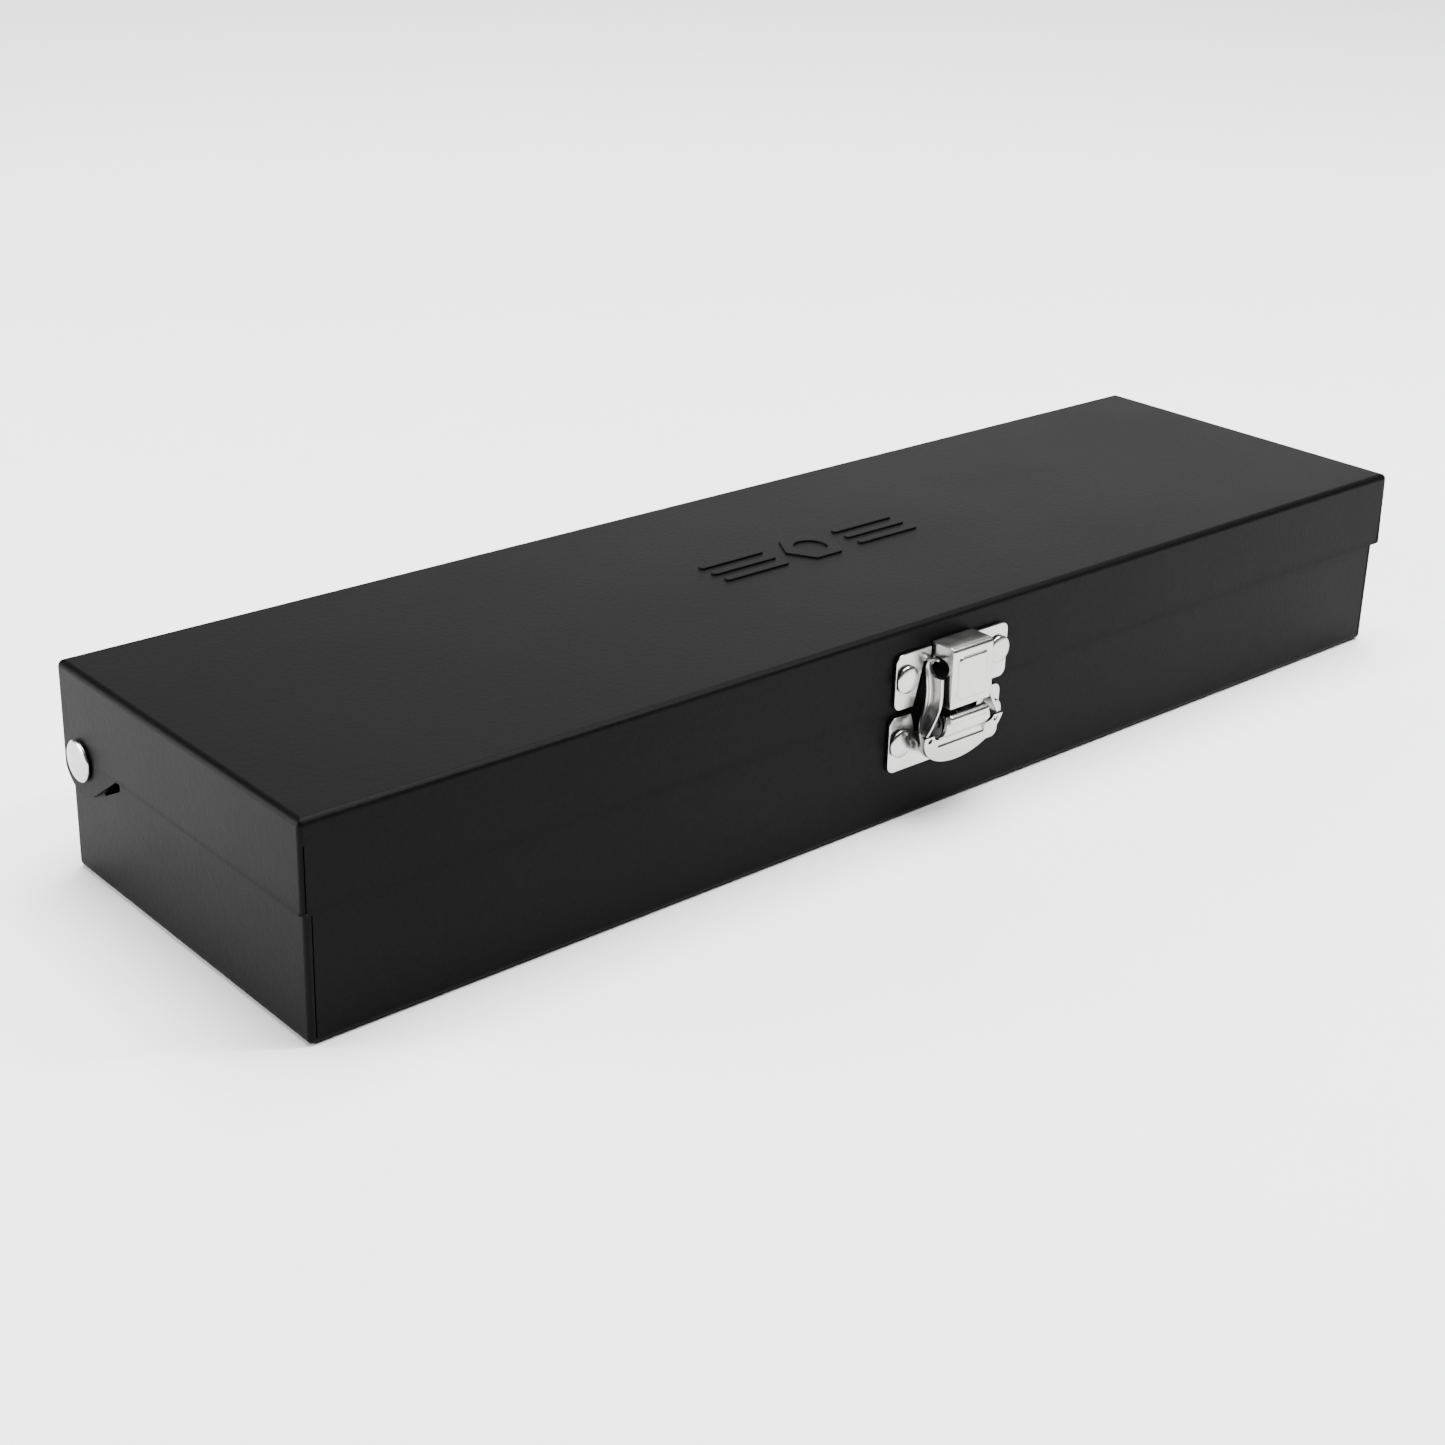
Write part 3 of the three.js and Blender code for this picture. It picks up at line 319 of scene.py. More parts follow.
# %% [markdown]
# ## Solids from outlines
# A solid here is a Blender object whose mesh holds its real place, in metres, with the object
# itself at the origin. `prism` pulls an outline along an axis, `loft` joins rings of equal count,
# and `carved` and `merged` run exact booleans and keep only the plain result.

# %% Solids
PLANES = {"x": (1, 2, 0), "y": (0, 2, 1), "z": (0, 1, 2)}
SAME_POINT = 1e-7


def piece_from(name, build):
    graph = bmesh.new()
    build(graph)
    bmesh.ops.remove_doubles(graph, verts=graph.verts, dist=SAME_POINT)
    bmesh.ops.recalc_face_normals(graph, faces=graph.faces)
    mesh = bpy.data.meshes.new(name)
    graph.to_mesh(mesh)
    graph.free()
    piece = bpy.data.objects.new(name, mesh)
    bpy.context.scene.collection.objects.link(piece)
    return piece


def loft(name, rings):
    """Rings of (x, y, z) in millimetres, joined in order, with a cap at each end."""

    def build(graph):
        rows = [[graph.verts.new(Vector(point) * MM) for point in ring] for ring in rings]
        count = len(rows[0])
        for low, high in zip(rows, rows[1:]):
            for i in range(count):
                j = (i + 1) % count
                graph.faces.new((low[i], low[j], high[j], high[i]))
        graph.faces.new(rows[0][::-1])
        graph.faces.new(rows[-1])

    return piece_from(name, build)


def prism(name, outline, low, high, axis="z"):
    first, second, along = PLANES[axis]

    def ring(depth):
        points = []
        for u, v in outline:
            point = [0, 0, 0]
            point[first], point[second], point[along] = u, v, depth
            points.append(tuple(point))
        return points

    return loft(name, [ring(low), ring(high)])


def bake(piece):
    """Replaces a piece's mesh by its evaluated result, without its modifiers."""
    bpy.context.view_layer.update()
    depsgraph = bpy.context.evaluated_depsgraph_get()
    result = bpy.data.meshes.new_from_object(piece.evaluated_get(depsgraph))
    old = piece.data
    piece.modifiers.clear()
    piece.data = result
    bpy.data.meshes.remove(old)
    result.name = piece.name
    return piece


def combined(piece, others, operation):
    for other in others:
        boolean = piece.modifiers.new("boolean", "BOOLEAN")
        boolean.operation = operation
        boolean.solver = "EXACT"
        boolean.object = other
        bake(piece)
    for other in others:
        bpy.data.objects.remove(other)
    return piece


def carved(piece, *cutters):
    return combined(piece, cutters, "DIFFERENCE")


def merged(piece, *others):
    return combined(piece, others, "UNION")


print("solids: piece_from, loft, prism, carved, merged")

# %% [markdown]
# ## Edges
# No real edge is a perfect corner. A narrow bevel on every sharp edge gives each sheet and tool
# the thin highlight that makes it look made of metal. Shading normals are weighted by face area, so
# flat faces stay flat and only the bevels bend.

# %% Softened edges
CLOSE_POINTS, FLAT_WITHIN = 2e-6, math.radians(1)


def smoothed(piece, angle=40):
    """Smooth shading in which large faces keep their own direction and narrow ones bend."""
    for face in piece.data.polygons:
        face.use_smooth = True
    piece.data.set_sharp_from_angle(angle=math.radians(angle))
    weighted = piece.modifiers.new("normals", "WEIGHTED_NORMAL")
    weighted.keep_sharp = True
    return bake(piece)


def softened(piece, width, segments=2, angle=40):
    """A bevel, in millimetres, on every edge sharper than the angle."""
    graph = bmesh.new()
    graph.from_mesh(piece.data)
    bmesh.ops.remove_doubles(graph, verts=graph.verts, dist=CLOSE_POINTS)
    bmesh.ops.dissolve_limit(graph, angle_limit=FLAT_WITHIN, verts=graph.verts, edges=graph.edges)
    graph.to_mesh(piece.data)
    graph.free()
    bevel = piece.modifiers.new("edges", "BEVEL")
    bevel.width = width * MM
    bevel.segments = segments
    bevel.limit_method = "ANGLE"
    bevel.angle_limit = math.radians(angle)
    return smoothed(bake(piece))


def joined(piece, *others):
    """Closed bodies that press into each other, kept as one piece."""
    every = [piece, *others]
    with bpy.context.temp_override(
        active_object=piece, object=piece, selected_objects=every, selected_editable_objects=every
    ):
        bpy.ops.object.join()
    return piece


def settled(piece, body, slot, finish, *nodes):
    """Gives a finished piece its finish, the body it rides on and the CAD nodes it stands for."""
    piece.data.materials.clear()
    piece.data.materials.append(finish)
    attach(piece, body)
    if nodes:
        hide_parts(*nodes)
    print(f"{piece.name}: {len(piece.data.polygons)} faces on {body}")
    return piece


print("edges: smoothed, softened, joined, settled")

# %% [markdown]
# ## Turned pieces
# Rivets, sockets, the bar, the grip and the gear are all round, and many have a rule on top of
# that: so many flutes, so deep, from here to there. One node tree makes them. A grid has one row
# of points for each point of a profile and one column for each step round the axis; each grid
# point looks up its profile point and is swung round. Flutes are a cosine taken off the radius.
# With a twist, two crossed cosines give the diamonds of a knurl.

# %% Geometry nodes for turned pieces
TURNED_INPUTS = [
    ("Segments", "NodeSocketInt", 96),
    ("Flutes", "NodeSocketInt", 0),
    ("Depth", "NodeSocketFloat", 0.0),
    ("Low", "NodeSocketFloat", 0.0),
    ("High", "NodeSocketFloat", 0.0),
    ("Twist", "NodeSocketFloat", 0.0),
    ("Sharpness", "NodeSocketFloat", 1.0),
    ("Finish", "NodeSocketMaterial", None),
]


def new_tree(name, inputs):
    tree = bpy.data.node_groups.new(name, "GeometryNodeTree")
    tree.interface.new_socket("Geometry", in_out="INPUT", socket_type="NodeSocketGeometry")
    for title, kind, value in inputs:
        socket = tree.interface.new_socket(title, in_out="INPUT", socket_type=kind)
        if value is not None:
            socket.default_value = value
    tree.interface.new_socket("Geometry", in_out="OUTPUT", socket_type="NodeSocketGeometry")
    recipe = Recipe(tree)
    entry = tree.nodes.new("NodeGroupInput")
    exit_node = tree.nodes.new("NodeGroupOutput")
    given = {socket.name: Wire(recipe, socket) for socket in entry.outputs if socket.name}

    def finish_with(geometry):
        real = recipe.node("GeometryNodeRealizeInstances", None, {0: geometry})
        painted = recipe.node("GeometryNodeSetMaterial", None, {0: real, "Material": given["Finish"]})
        recipe.plug(exit_node.inputs[0], painted)

    return tree, recipe, given, finish_with


def turned_tree():
    tree, nodes, given, finish_with = new_tree("turned piece", TURNED_INPUTS)
    profile = given["Geometry"]
    rows = nodes.node("GeometryNodeAttributeDomainSize", None, {0: profile})
    columns = given["Segments"] + 1
    grid = nodes.node("GeometryNodeMeshGrid", None, {2: rows, 3: columns})
    index = nodes.node("GeometryNodeInputIndex")
    row = nodes.maths("FLOOR", index / columns)
    column = nodes.maths("MODULO", index, columns)
    position = nodes.node("GeometryNodeInputPosition")
    picked = nodes.node(
        "GeometryNodeSampleIndex",
        {"data_type": "FLOAT_VECTOR", "domain": "POINT"},
        {0: profile, "Value": position, "Index": row},
    )
    parts = nodes.node("ShaderNodeSeparateXYZ", None, {0: picked})
    radius, height = parts, Wire(nodes, parts.socket.node.outputs["Z"])
    angle = column / given["Segments"] * (2 * math.pi)
    turns = angle * given["Flutes"]
    lead = height * given["Twist"]
    wave = nodes.maths("COSINE", turns + lead) + nodes.maths("COSINE", turns - lead)
    hollow = nodes.maths("POWER", wave * 0.25 + 0.5, given["Sharpness"])
    above = nodes.maths("GREATER_THAN", height, given["Low"])
    below = nodes.maths("LESS_THAN", height, given["High"])
    fluted = radius - hollow * given["Depth"] * above * below
    place = nodes.node(
        "ShaderNodeCombineXYZ",
        None,
        {0: fluted * nodes.maths("COSINE", angle), 1: fluted * nodes.maths("SINE", angle), 2: height},
    )
    shaped = nodes.node("GeometryNodeSetPosition", None, {0: grid, "Position": place})
    finish_with(nodes.node("GeometryNodeMergeByDistance", None, {0: shaped, "Distance": 1e-6}))
    return tree


TURNED = turned_tree()
print("turned piece tree:", len(TURNED.nodes), "nodes")

# %% [markdown]
# ## Running a tree
# A tree is run as a modifier on a small carrier object. Its inputs are set by their identifiers
# before the first evaluation. The result is copied to a plain mesh, the modifier goes, and the
# mesh is moved to its real place.

# %% Running a tree
def run_tree(tree, carrier, values):
    modifier = carrier.modifiers.new("shape", "NODES")
    modifier.node_group = tree
    for socket in tree.interface.items_tree:
        if socket.item_type == "SOCKET" and socket.in_out == "INPUT" and socket.name in values:
            modifier[socket.identifier] = values[socket.name]
    return bake(carrier)


def eased(points, radius, steps=4):
    """A profile whose inner and outer corners are rounded off."""
    line = [points[0]]
    for before, corner, after in zip(points, points[1:], points[2:]):
        c = Vector(corner)
        back, on = Vector(before) - c, Vector(after) - c
        reach = min(radius, 0.45 * back.length, 0.45 * on.length)
        start, end = c + back.normalized() * reach, c + on.normalized() * reach
        for i in range(steps + 1):
            t = i / steps
            line.append(tuple(start * (1 - t) ** 2 + c * (2 * t * (1 - t)) + end * t * t))
    line.append(points[-1])
    return line


def banded(points, low, high, step):
    """Extra points on a profile between two heights, so that flutes there have room to bend."""
    line = [points[0]]
    for (r0, h0), (r1, h1) in zip(points, points[1:]):
        inside = max(min(h0, h1), low) < min(max(h0, h1), high)
        count = max(1, math.ceil(abs(h1 - h0) / step)) if inside else 1
        line += [(r0 + (r1 - r0) * i / count, h0 + (h1 - h0) * i / count) for i in range(1, count + 1)]
    return line


DIRECTIONS = {"z": Vector((0, 0, 1)), "x": Vector((1, 0, 0)), "-x": Vector((-1, 0, 0)),
              "-y": Vector((0, -1, 0))}


def turned(name, profile, at=(0, 0, 0), axis="z", segments=96, **rule):
    """Swings a profile of (radius, height) round an axis. The rule may give flutes and their depth,
    low, high, twist and sharpness."""
    mesh = bpy.data.meshes.new(name)
    mesh.from_pydata([(r * MM, 0, h * MM) for r, h in profile], [], [])
    carrier = bpy.data.objects.new(name, mesh)
    bpy.context.scene.collection.objects.link(carrier)
    lengths = {"Depth": MM, "Low": MM, "High": MM, "Twist": 1 / MM}
    values = {key.title(): value * lengths.get(key.title(), 1) for key, value in rule.items()}
    run_tree(TURNED, carrier, {"Segments": segments, "Finish": NICKEL, **values})
    turn = Vector((0, 0, 1)).rotation_difference(DIRECTIONS[axis]).to_matrix().to_4x4()
    carrier.data.transform(Matrix.Translation(Vector(at) * MM) @ turn)
    graph = bmesh.new()
    graph.from_mesh(carrier.data)
    bmesh.ops.recalc_face_normals(graph, faces=graph.faces)
    graph.to_mesh(carrier.data)
    graph.free()
    return carrier


print("eased, banded and turned are ready")

# %% [markdown]
# ## The case's sheets
# Each half of the case is one blank of steel, 0.9 mm thick, folded up on four sides. The fold has
# an outer radius of about two sheets. The walls are lofted as stacked rounded rectangles, the
# inside is cut out one sheet thickness in, and then the outline seen from the side is cut away.

# %% Folded boxes
SHEET = 0.9
BEND = 1.8
CORNER = 1.2
BEND_STEPS = 10
LID_TOP = 54.0
ABOVE_ALL = 60


def box_of(node):
    """A CAD node's lowest and highest corner, in millimetres."""
    return [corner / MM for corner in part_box(node)]


_, lid_high = box_of("case_lid")
_, base_high = box_of("case_base")
lid_half_x, lid_half_y = lid_high.x, lid_high.y
base_half_x, base_half_y = base_high.x, base_high.y


def folded_box(name, half_x, half_y, corner, low, high, bend, bend_up):
    def ring(z, inset):
        radius = max(corner - inset, 0.12)
        outline = rounded_rectangle(
            inset - half_x, half_x - inset, inset - half_y, half_y - inset, radius, 6
        )
        return [(x, y, z) for x, y in outline]

    fold = []
    for i in range(BEND_STEPS + 1):
        a = math.pi / 2 * i / BEND_STEPS
        fold.append((bend * (1 - math.sin(a)), bend * (1 - math.cos(a))))
    if bend_up:
        rings = [ring(low, 0)] + [ring(high - rise, inset) for rise, inset in fold]
    else:
        rings = [ring(low + rise, inset) for rise, inset in reversed(fold)] + [ring(high, 0)]
    return loft(name, rings)


print("lid halves:", round(lid_half_x, 2), round(lid_half_y, 2), "base:", round(base_half_x, 2))

# %% [markdown]
# ## A raised motif
# The lid's top is embossed. The motif is a hexagonal nut between two groups of bars, which is plain
# and says what the set is for. The bars repeat in rows and columns, so a node tree stamps them: it
# puts a copy of the piece it's given on each point of a grid.

# %% Geometry nodes for a row-and-column pattern
PATTERN_INPUTS = [
    ("Columns", "NodeSocketInt", 2),
    ("Rows", "NodeSocketInt", 1),
    ("Across", "NodeSocketFloat", 0.01),
    ("Up", "NodeSocketFloat", 0.01),
    ("Finish", "NodeSocketMaterial", None),
]


def pattern_tree():
    tree, nodes, given, finish_with = new_tree("pattern", PATTERN_INPUTS)
    width = (given["Columns"] - 1) * given["Across"]
    depth = (given["Rows"] - 1) * given["Up"]
    spots = nodes.node(
        "GeometryNodeMeshGrid", None, {0: width, 1: depth, 2: given["Columns"], 3: given["Rows"]}
    )
    inputs = {0: spots, "Instance": given["Geometry"]}
    finish_with(nodes.node("GeometryNodeInstanceOnPoints", None, inputs))
    return tree


PATTERN = pattern_tree()
print("pattern tree:", len(PATTERN.nodes), "nodes")

# %% [markdown]
# ## The motif's two kinds of piece
# One bar is a capsule pulled up a little through the lid's face, with a soft edge, and the tree
# makes six of it. The nut is a hexagon with a round hole. Both start just under the face, so they
# grow out of the sheet.

# %% Motif
MOTIF_EDGE = 0.25
MOTIF_HEIGHT, MOTIF_CENTRE, MOTIF_SUNK = 0.5, (4, 3.5), 0.4
NUT_RADIUS, NUT_HOLE = 9, 4.6
BAR_LENGTH, BAR_WIDTH, BAR_PITCH, BAR_GAP = 22, 2.2, 5.2, 4


def motif():
    """Two groups of three round-ended bars beside a hexagonal nut, raised on the lid."""
    low, high = LID_TOP - MOTIF_SUNK, LID_TOP + MOTIF_HEIGHT
    reach = (BAR_LENGTH - BAR_WIDTH) / 2
    outline = capsule((-reach, 0), (reach, 0), BAR_WIDTH / 2)
    bar = softened(prism("bars", outline, low, high), MOTIF_EDGE, 3)
    apart = 2 * (NUT_RADIUS + BAR_GAP) + BAR_LENGTH
    run_tree(PATTERN, bar, {"Columns": 2, "Rows": 3, "Across": apart * MM, "Up": BAR_PITCH * MM,
                            "Finish": POWDER_COAT})
    bar.data.transform(Matrix.Translation(Vector((*MOTIF_CENTRE, 0)) * MM))
    x, y = MOTIF_CENTRE
    nut = prism("nut", polygon(x, y, NUT_RADIUS, 6), low, high)
    hole = prism("hole", polygon(x, y, NUT_HOLE, 60), low - 1, high + 1)
    return smoothed(bar), softened(carved(nut, hole), MOTIF_EDGE, 3)


print("the motif stands", MOTIF_HEIGHT, "mm above the lid")

# %% [markdown]
# ## Lid
# The lid's side walls end in a round lobe for the pivot rivet, and step up again behind it, where
# only a short flange folds down the back. The walls meet without a weld, so an upright slit remains
# in the front and back walls beside each corner.

# %% Lid sizes and cutters
PIVOT_INSET = 9.3
PIVOT_HEIGHT = 31.3
LOBE_RADIUS = 9.2
LOBE_NOTCH_Y = 27.1
LID_LOWER_EDGE = 32.1
FLANGE_LOWER_EDGE = 45.1
PIVOT_HOLE = 2.7
SEAM_WIDTH = 0.3
SEAM_DEPTH = 0.6
LID_SEAM, LID_SEAM_TOP, BASE_SEAM = 1.0, 48, 1.75

pivot_y = lid_half_y - PIVOT_INSET


def side_outline():
    """What is cut away under the lid, seen from the side."""
    reach = 2 * lid_half_y
    back = lid_half_y - SHEET
    dy, dz = LOBE_NOTCH_Y - pivot_y, LID_LOWER_EDGE - PIVOT_HEIGHT
    tangent = math.degrees(math.acos(LOBE_RADIUS / math.hypot(dy, dz)))
    start = (math.degrees(math.atan2(dz, dy)) + 360 + tangent) % 360
    stop = 360 - math.degrees(math.acos((back - pivot_y) / LOBE_RADIUS))
    return [
        (-reach, -reach),
        (-reach, LID_LOWER_EDGE),
        (LOBE_NOTCH_Y, LID_LOWER_EDGE),
        *arc(pivot_y, PIVOT_HEIGHT, LOBE_RADIUS, start, stop, 40),
        (back, FLANGE_LOWER_EDGE),
        (reach, FLANGE_LOWER_EDGE),
        (reach, -reach),
    ]


def corner_seams(half_x, half_y, from_corner, low, high):
    """Thin upright slits in the front and back walls, beside each corner."""
    slits = []
    for sx in (-1, 1):
        for sy in (-1, 1):
            x = sx * (half_x - from_corner)
            y0, y1 = sorted((sy * (half_y - SEAM_DEPTH), sy * (half_y + 1)))
            x0, x1 = x - SEAM_WIDTH / 2, x + SEAM_WIDTH / 2
            slits.append(prism("slit", [(x0, y0), (x1, y0), (x1, y1), (x0, y1)], low, high))
    return slits


def pin_hole(radius, half_length, y, z):
    return prism("hole", polygon(y, z, radius, 48), -half_length, half_length, "x")


print("pivot at y =", round(pivot_y, 2), "and z =", PIVOT_HEIGHT)

# %% [markdown]
# ## The lid's lower edge
# Where the lid slides over the base, its lower edge springs out a little. A cut all round makes a
# line of points above the edge, and the points below it are pushed outwards. The lobes and the back
# flange stay straight.

# %% Flared lip and lid
LIP, LIP_FLARE = 0.9, 0.42
AT_WALL, NEARLY_FLAT = 0.3, math.radians(0.3)


def flared_lip(shell):
    """Springs the lower edge out a little, as it is where it slides over the base."""
    graph = bmesh.new()
    graph.from_mesh(shell.data)
    line = (LID_LOWER_EDGE + LIP) * MM
    every = [*graph.verts, *graph.edges, *graph.faces]
    bmesh.ops.bisect_plane(graph, geom=every, plane_co=(0, 0, line), plane_no=(0, 0, 1))
    for vertex in graph.verts:
        x, y, z = vertex.co / MM
        at_end, at_front = abs(x) > lid_half_x - AT_WALL, y < AT_WALL - lid_half_y
        share = (LID_LOWER_EDGE + LIP - z) / LIP
        if (at_end or at_front) and y < LOBE_NOTCH_Y - 1 and 0 < share < 1.1:
            push = LIP_FLARE * min(share, 1) * MM
            vertex.co.x += math.copysign(push, x) if at_end else 0
            vertex.co.y -= push if at_front else 0
    bmesh.ops.dissolve_limit(graph, angle_limit=NEARLY_FLAT, verts=graph.verts, edges=graph.edges)
    graph.to_mesh(shell.data)
    graph.free()
    return smoothed(shell, 18)


def make_lid():
    low = PIVOT_HEIGHT - LOBE_RADIUS - 1
    shell = folded_box("lid_shell", lid_half_x, lid_half_y, CORNER, low, LID_TOP, BEND, True)
    inner = folded_box(
        "inner", lid_half_x - SHEET, lid_half_y - SHEET, CORNER - SHEET, low - 1, LID_TOP - SHEET,
        BEND - SHEET, True,
    )
    skirt = prism("skirt", side_outline(), -2 * lid_half_x, 2 * lid_half_x, "x")
    hole = pin_hole(PIVOT_HOLE, 2 * lid_half_x, pivot_y, PIVOT_HEIGHT)
    slits = corner_seams(lid_half_x, lid_half_y, LID_SEAM, 0, LID_SEAM_TOP)
    carved(shell, inner, skirt, hole, *slits)
    softened(shell, 0.25, 3)
    return joined(flared_lip(shell), *motif())


settled(make_lid(), "lid", "powder_coat", POWDER_COAT, "case_lid")

# %% [markdown]
# ## Base
# The base is a little smaller, so that the lid slides over it. Its walls end just above the lid's
# edge, except at the back, where they rise behind the lid's short flange. Beside each lobe the
# wall has a teardrop opening that lets the lid's notch clear the fold when it swings.

# %% Base
BASE_WALL_TOP = 36.4
BASE_RAMP = (20, 36)


def make_base():
    top = base_high.z
    shell = folded_box("base_shell", base_half_x, base_half_y, CORNER, 0, top, BEND, False)
    inner = folded_box(
        "inner", base_half_x - SHEET, base_half_y - SHEET, CORNER - SHEET, SHEET, top + 1,
        BEND - SHEET, False,
    )
    reach = 2 * base_half_y
    above = [(-reach, BASE_WALL_TOP), (BASE_RAMP[0], BASE_WALL_TOP), (BASE_RAMP[1], top),
             (BASE_RAMP[1], 2 * top), (-reach, 2 * top)]
    upper = prism("upper", above, -2 * base_half_x, 2 * base_half_x, "x")
    drop = capsule(
        (LOBE_NOTCH_Y + 2, LID_LOWER_EDGE - 2.3), (LOBE_NOTCH_Y + 8.2, LID_LOWER_EDGE - 6.6), 1.3, 0.4
    )
    relief = prism("relief", drop, -2 * base_half_x, 2 * base_half_x, "x")
    hole = pin_hole(PIVOT_HOLE, 2 * base_half_x, pivot_y, PIVOT_HEIGHT)
    slits = corner_seams(base_half_x, base_half_y, BASE_SEAM, BEND, ABOVE_ALL)
    carved(shell, inner, upper, relief, hole, *slits)
    return softened(shell, 0.2)


settled(make_base(), "case", "powder_coat", POWDER_COAT, "case_base")

# %% [markdown]
# ## Pivot rivets
# The lid turns on a rivet at each side: a low, polished dome outside, a washer and a flattened
# tail inside. The dome is a shallow cap with a tight rim, so it catches one soft highlight.

# %% Pivot rivets and washers
PIVOT_HEAD, PIVOT_DOME, PIVOT_SHANK = 5.2, 1.5, 2.4
PIVOT_TAIL, PIVOT_TAIL_HEIGHT = 3.6, 0.9
WASHER, WASHER_THICKNESS = 5.0, 0.8
GAP = 0.35
SIDES = ((-1, "left", "-x"), (1, "right", "x"))


def rivet_profile(head, dome, shank, tail, tail_height, grip):
    under = tail_height + grip
    tail_end = eased([(0, 0), (tail, 0), (tail, tail_height), (shank, tail_height)], 0.3)
    rim = [(shank, under), (head - 0.25, under), (head, under + 0.2), (head, under + dome * 0.3)]
    steps = 12
    crown = []
    for i in range(1, steps + 1):
        a = math.pi / 2 * i / steps
        crown.append((head * math.cos(a), under + dome * (0.3 + 0.7 * math.sin(a))))
    crown[-1] = (0, crown[-1][1])
    return tail_end + rim + crown


for side, word, axis in SIDES:
    wall = base_half_x - SHEET
    inside = wall - GAP - WASHER_THICKNESS - GAP - PIVOT_TAIL_HEIGHT
    grip = lid_half_x + GAP - inside - PIVOT_TAIL_HEIGHT
    profile = rivet_profile(PIVOT_HEAD, PIVOT_DOME, PIVOT_SHANK, PIVOT_TAIL, PIVOT_TAIL_HEIGHT, grip)
    rivet = smoothed(turned(f"rivet_{word}", profile, (side * inside, pivot_y, PIVOT_HEIGHT), axis))
    settled(rivet, "case", "nickel", NICKEL, f"hinge_rivet_{word}")
    ring = [(PIVOT_HOLE, 0), (WASHER, 0), (WASHER, WASHER_THICKNESS), (PIVOT_HOLE, WASHER_THICKNESS),
            (PIVOT_HOLE, 0)]
    start = (side * (wall - GAP - WASHER_THICKNESS), pivot_y, PIVOT_HEIGHT)
    washer = softened(turned(f"washer_{word}", ring, start, axis, 48), 0.15)
    settled(washer, "case", "nickel", NICKEL, f"hinge_washer_{word}")

# %% [markdown]
# ## The catch
# The catch is riveted to the lid. It's one stamping: a plate with a wedge-shaped slot for the
# claws, and a raised box in the middle with a rounded top bend, a notched side wall where the
# claws hook, and a shallow raised panel pressed into its front. On the plate's face a slit
# divides each wing from the box, because the box's side walls were folded out of it.

# %% Catch plate and box
FRONT_Y = -lid_half_y
PLATE_HALF, PLATE_THICK, PLATE_CORNER = 20.2, 0.8, 2.2
CATCH_LOW, CATCH_HIGH = LID_LOWER_EDGE + 0.2, LID_LOWER_EDGE + 15.2
BOX_HALF, BOX_REACH, BOX_WALL = 7.2, 8.1, 0.9
BOX_LOW, BOX_HIGH = LID_LOWER_EDGE - 0.3, LID_LOWER_EDGE + 16.2
HOOK_P, HOOK_Z, NOTCH_RADIUS = 4.4, LID_LOWER_EDGE + 10.1, 2.1
CLAW_INNER, CLAW_THICK = BOX_HALF + 1.1, 1.0
SLOT_TOP = LID_LOWER_EDGE + 11.7
RIVET_X = PLATE_HALF - 3.6


def out(points):
    """Turns (distance out from the lid's front, height) into (y, z)."""
    return [(FRONT_Y - p, z) for p, z in points]


def sheet(name, low, high, back, front):
    outline = rounded_rectangle(-PLATE_HALF, PLATE_HALF, low, high, PLATE_CORNER, 8)
    return prism(name, outline, FRONT_Y - front, FRONT_Y - back, "y")


def claw_slot(bottom, bottom_half, top, top_half):
    corners = [(-bottom_half, bottom), (bottom_half, bottom), (top_half, top), (-top_half, top)]
    return prism("slot", corners, FRONT_Y - 3, FRONT_Y + 3, "y")


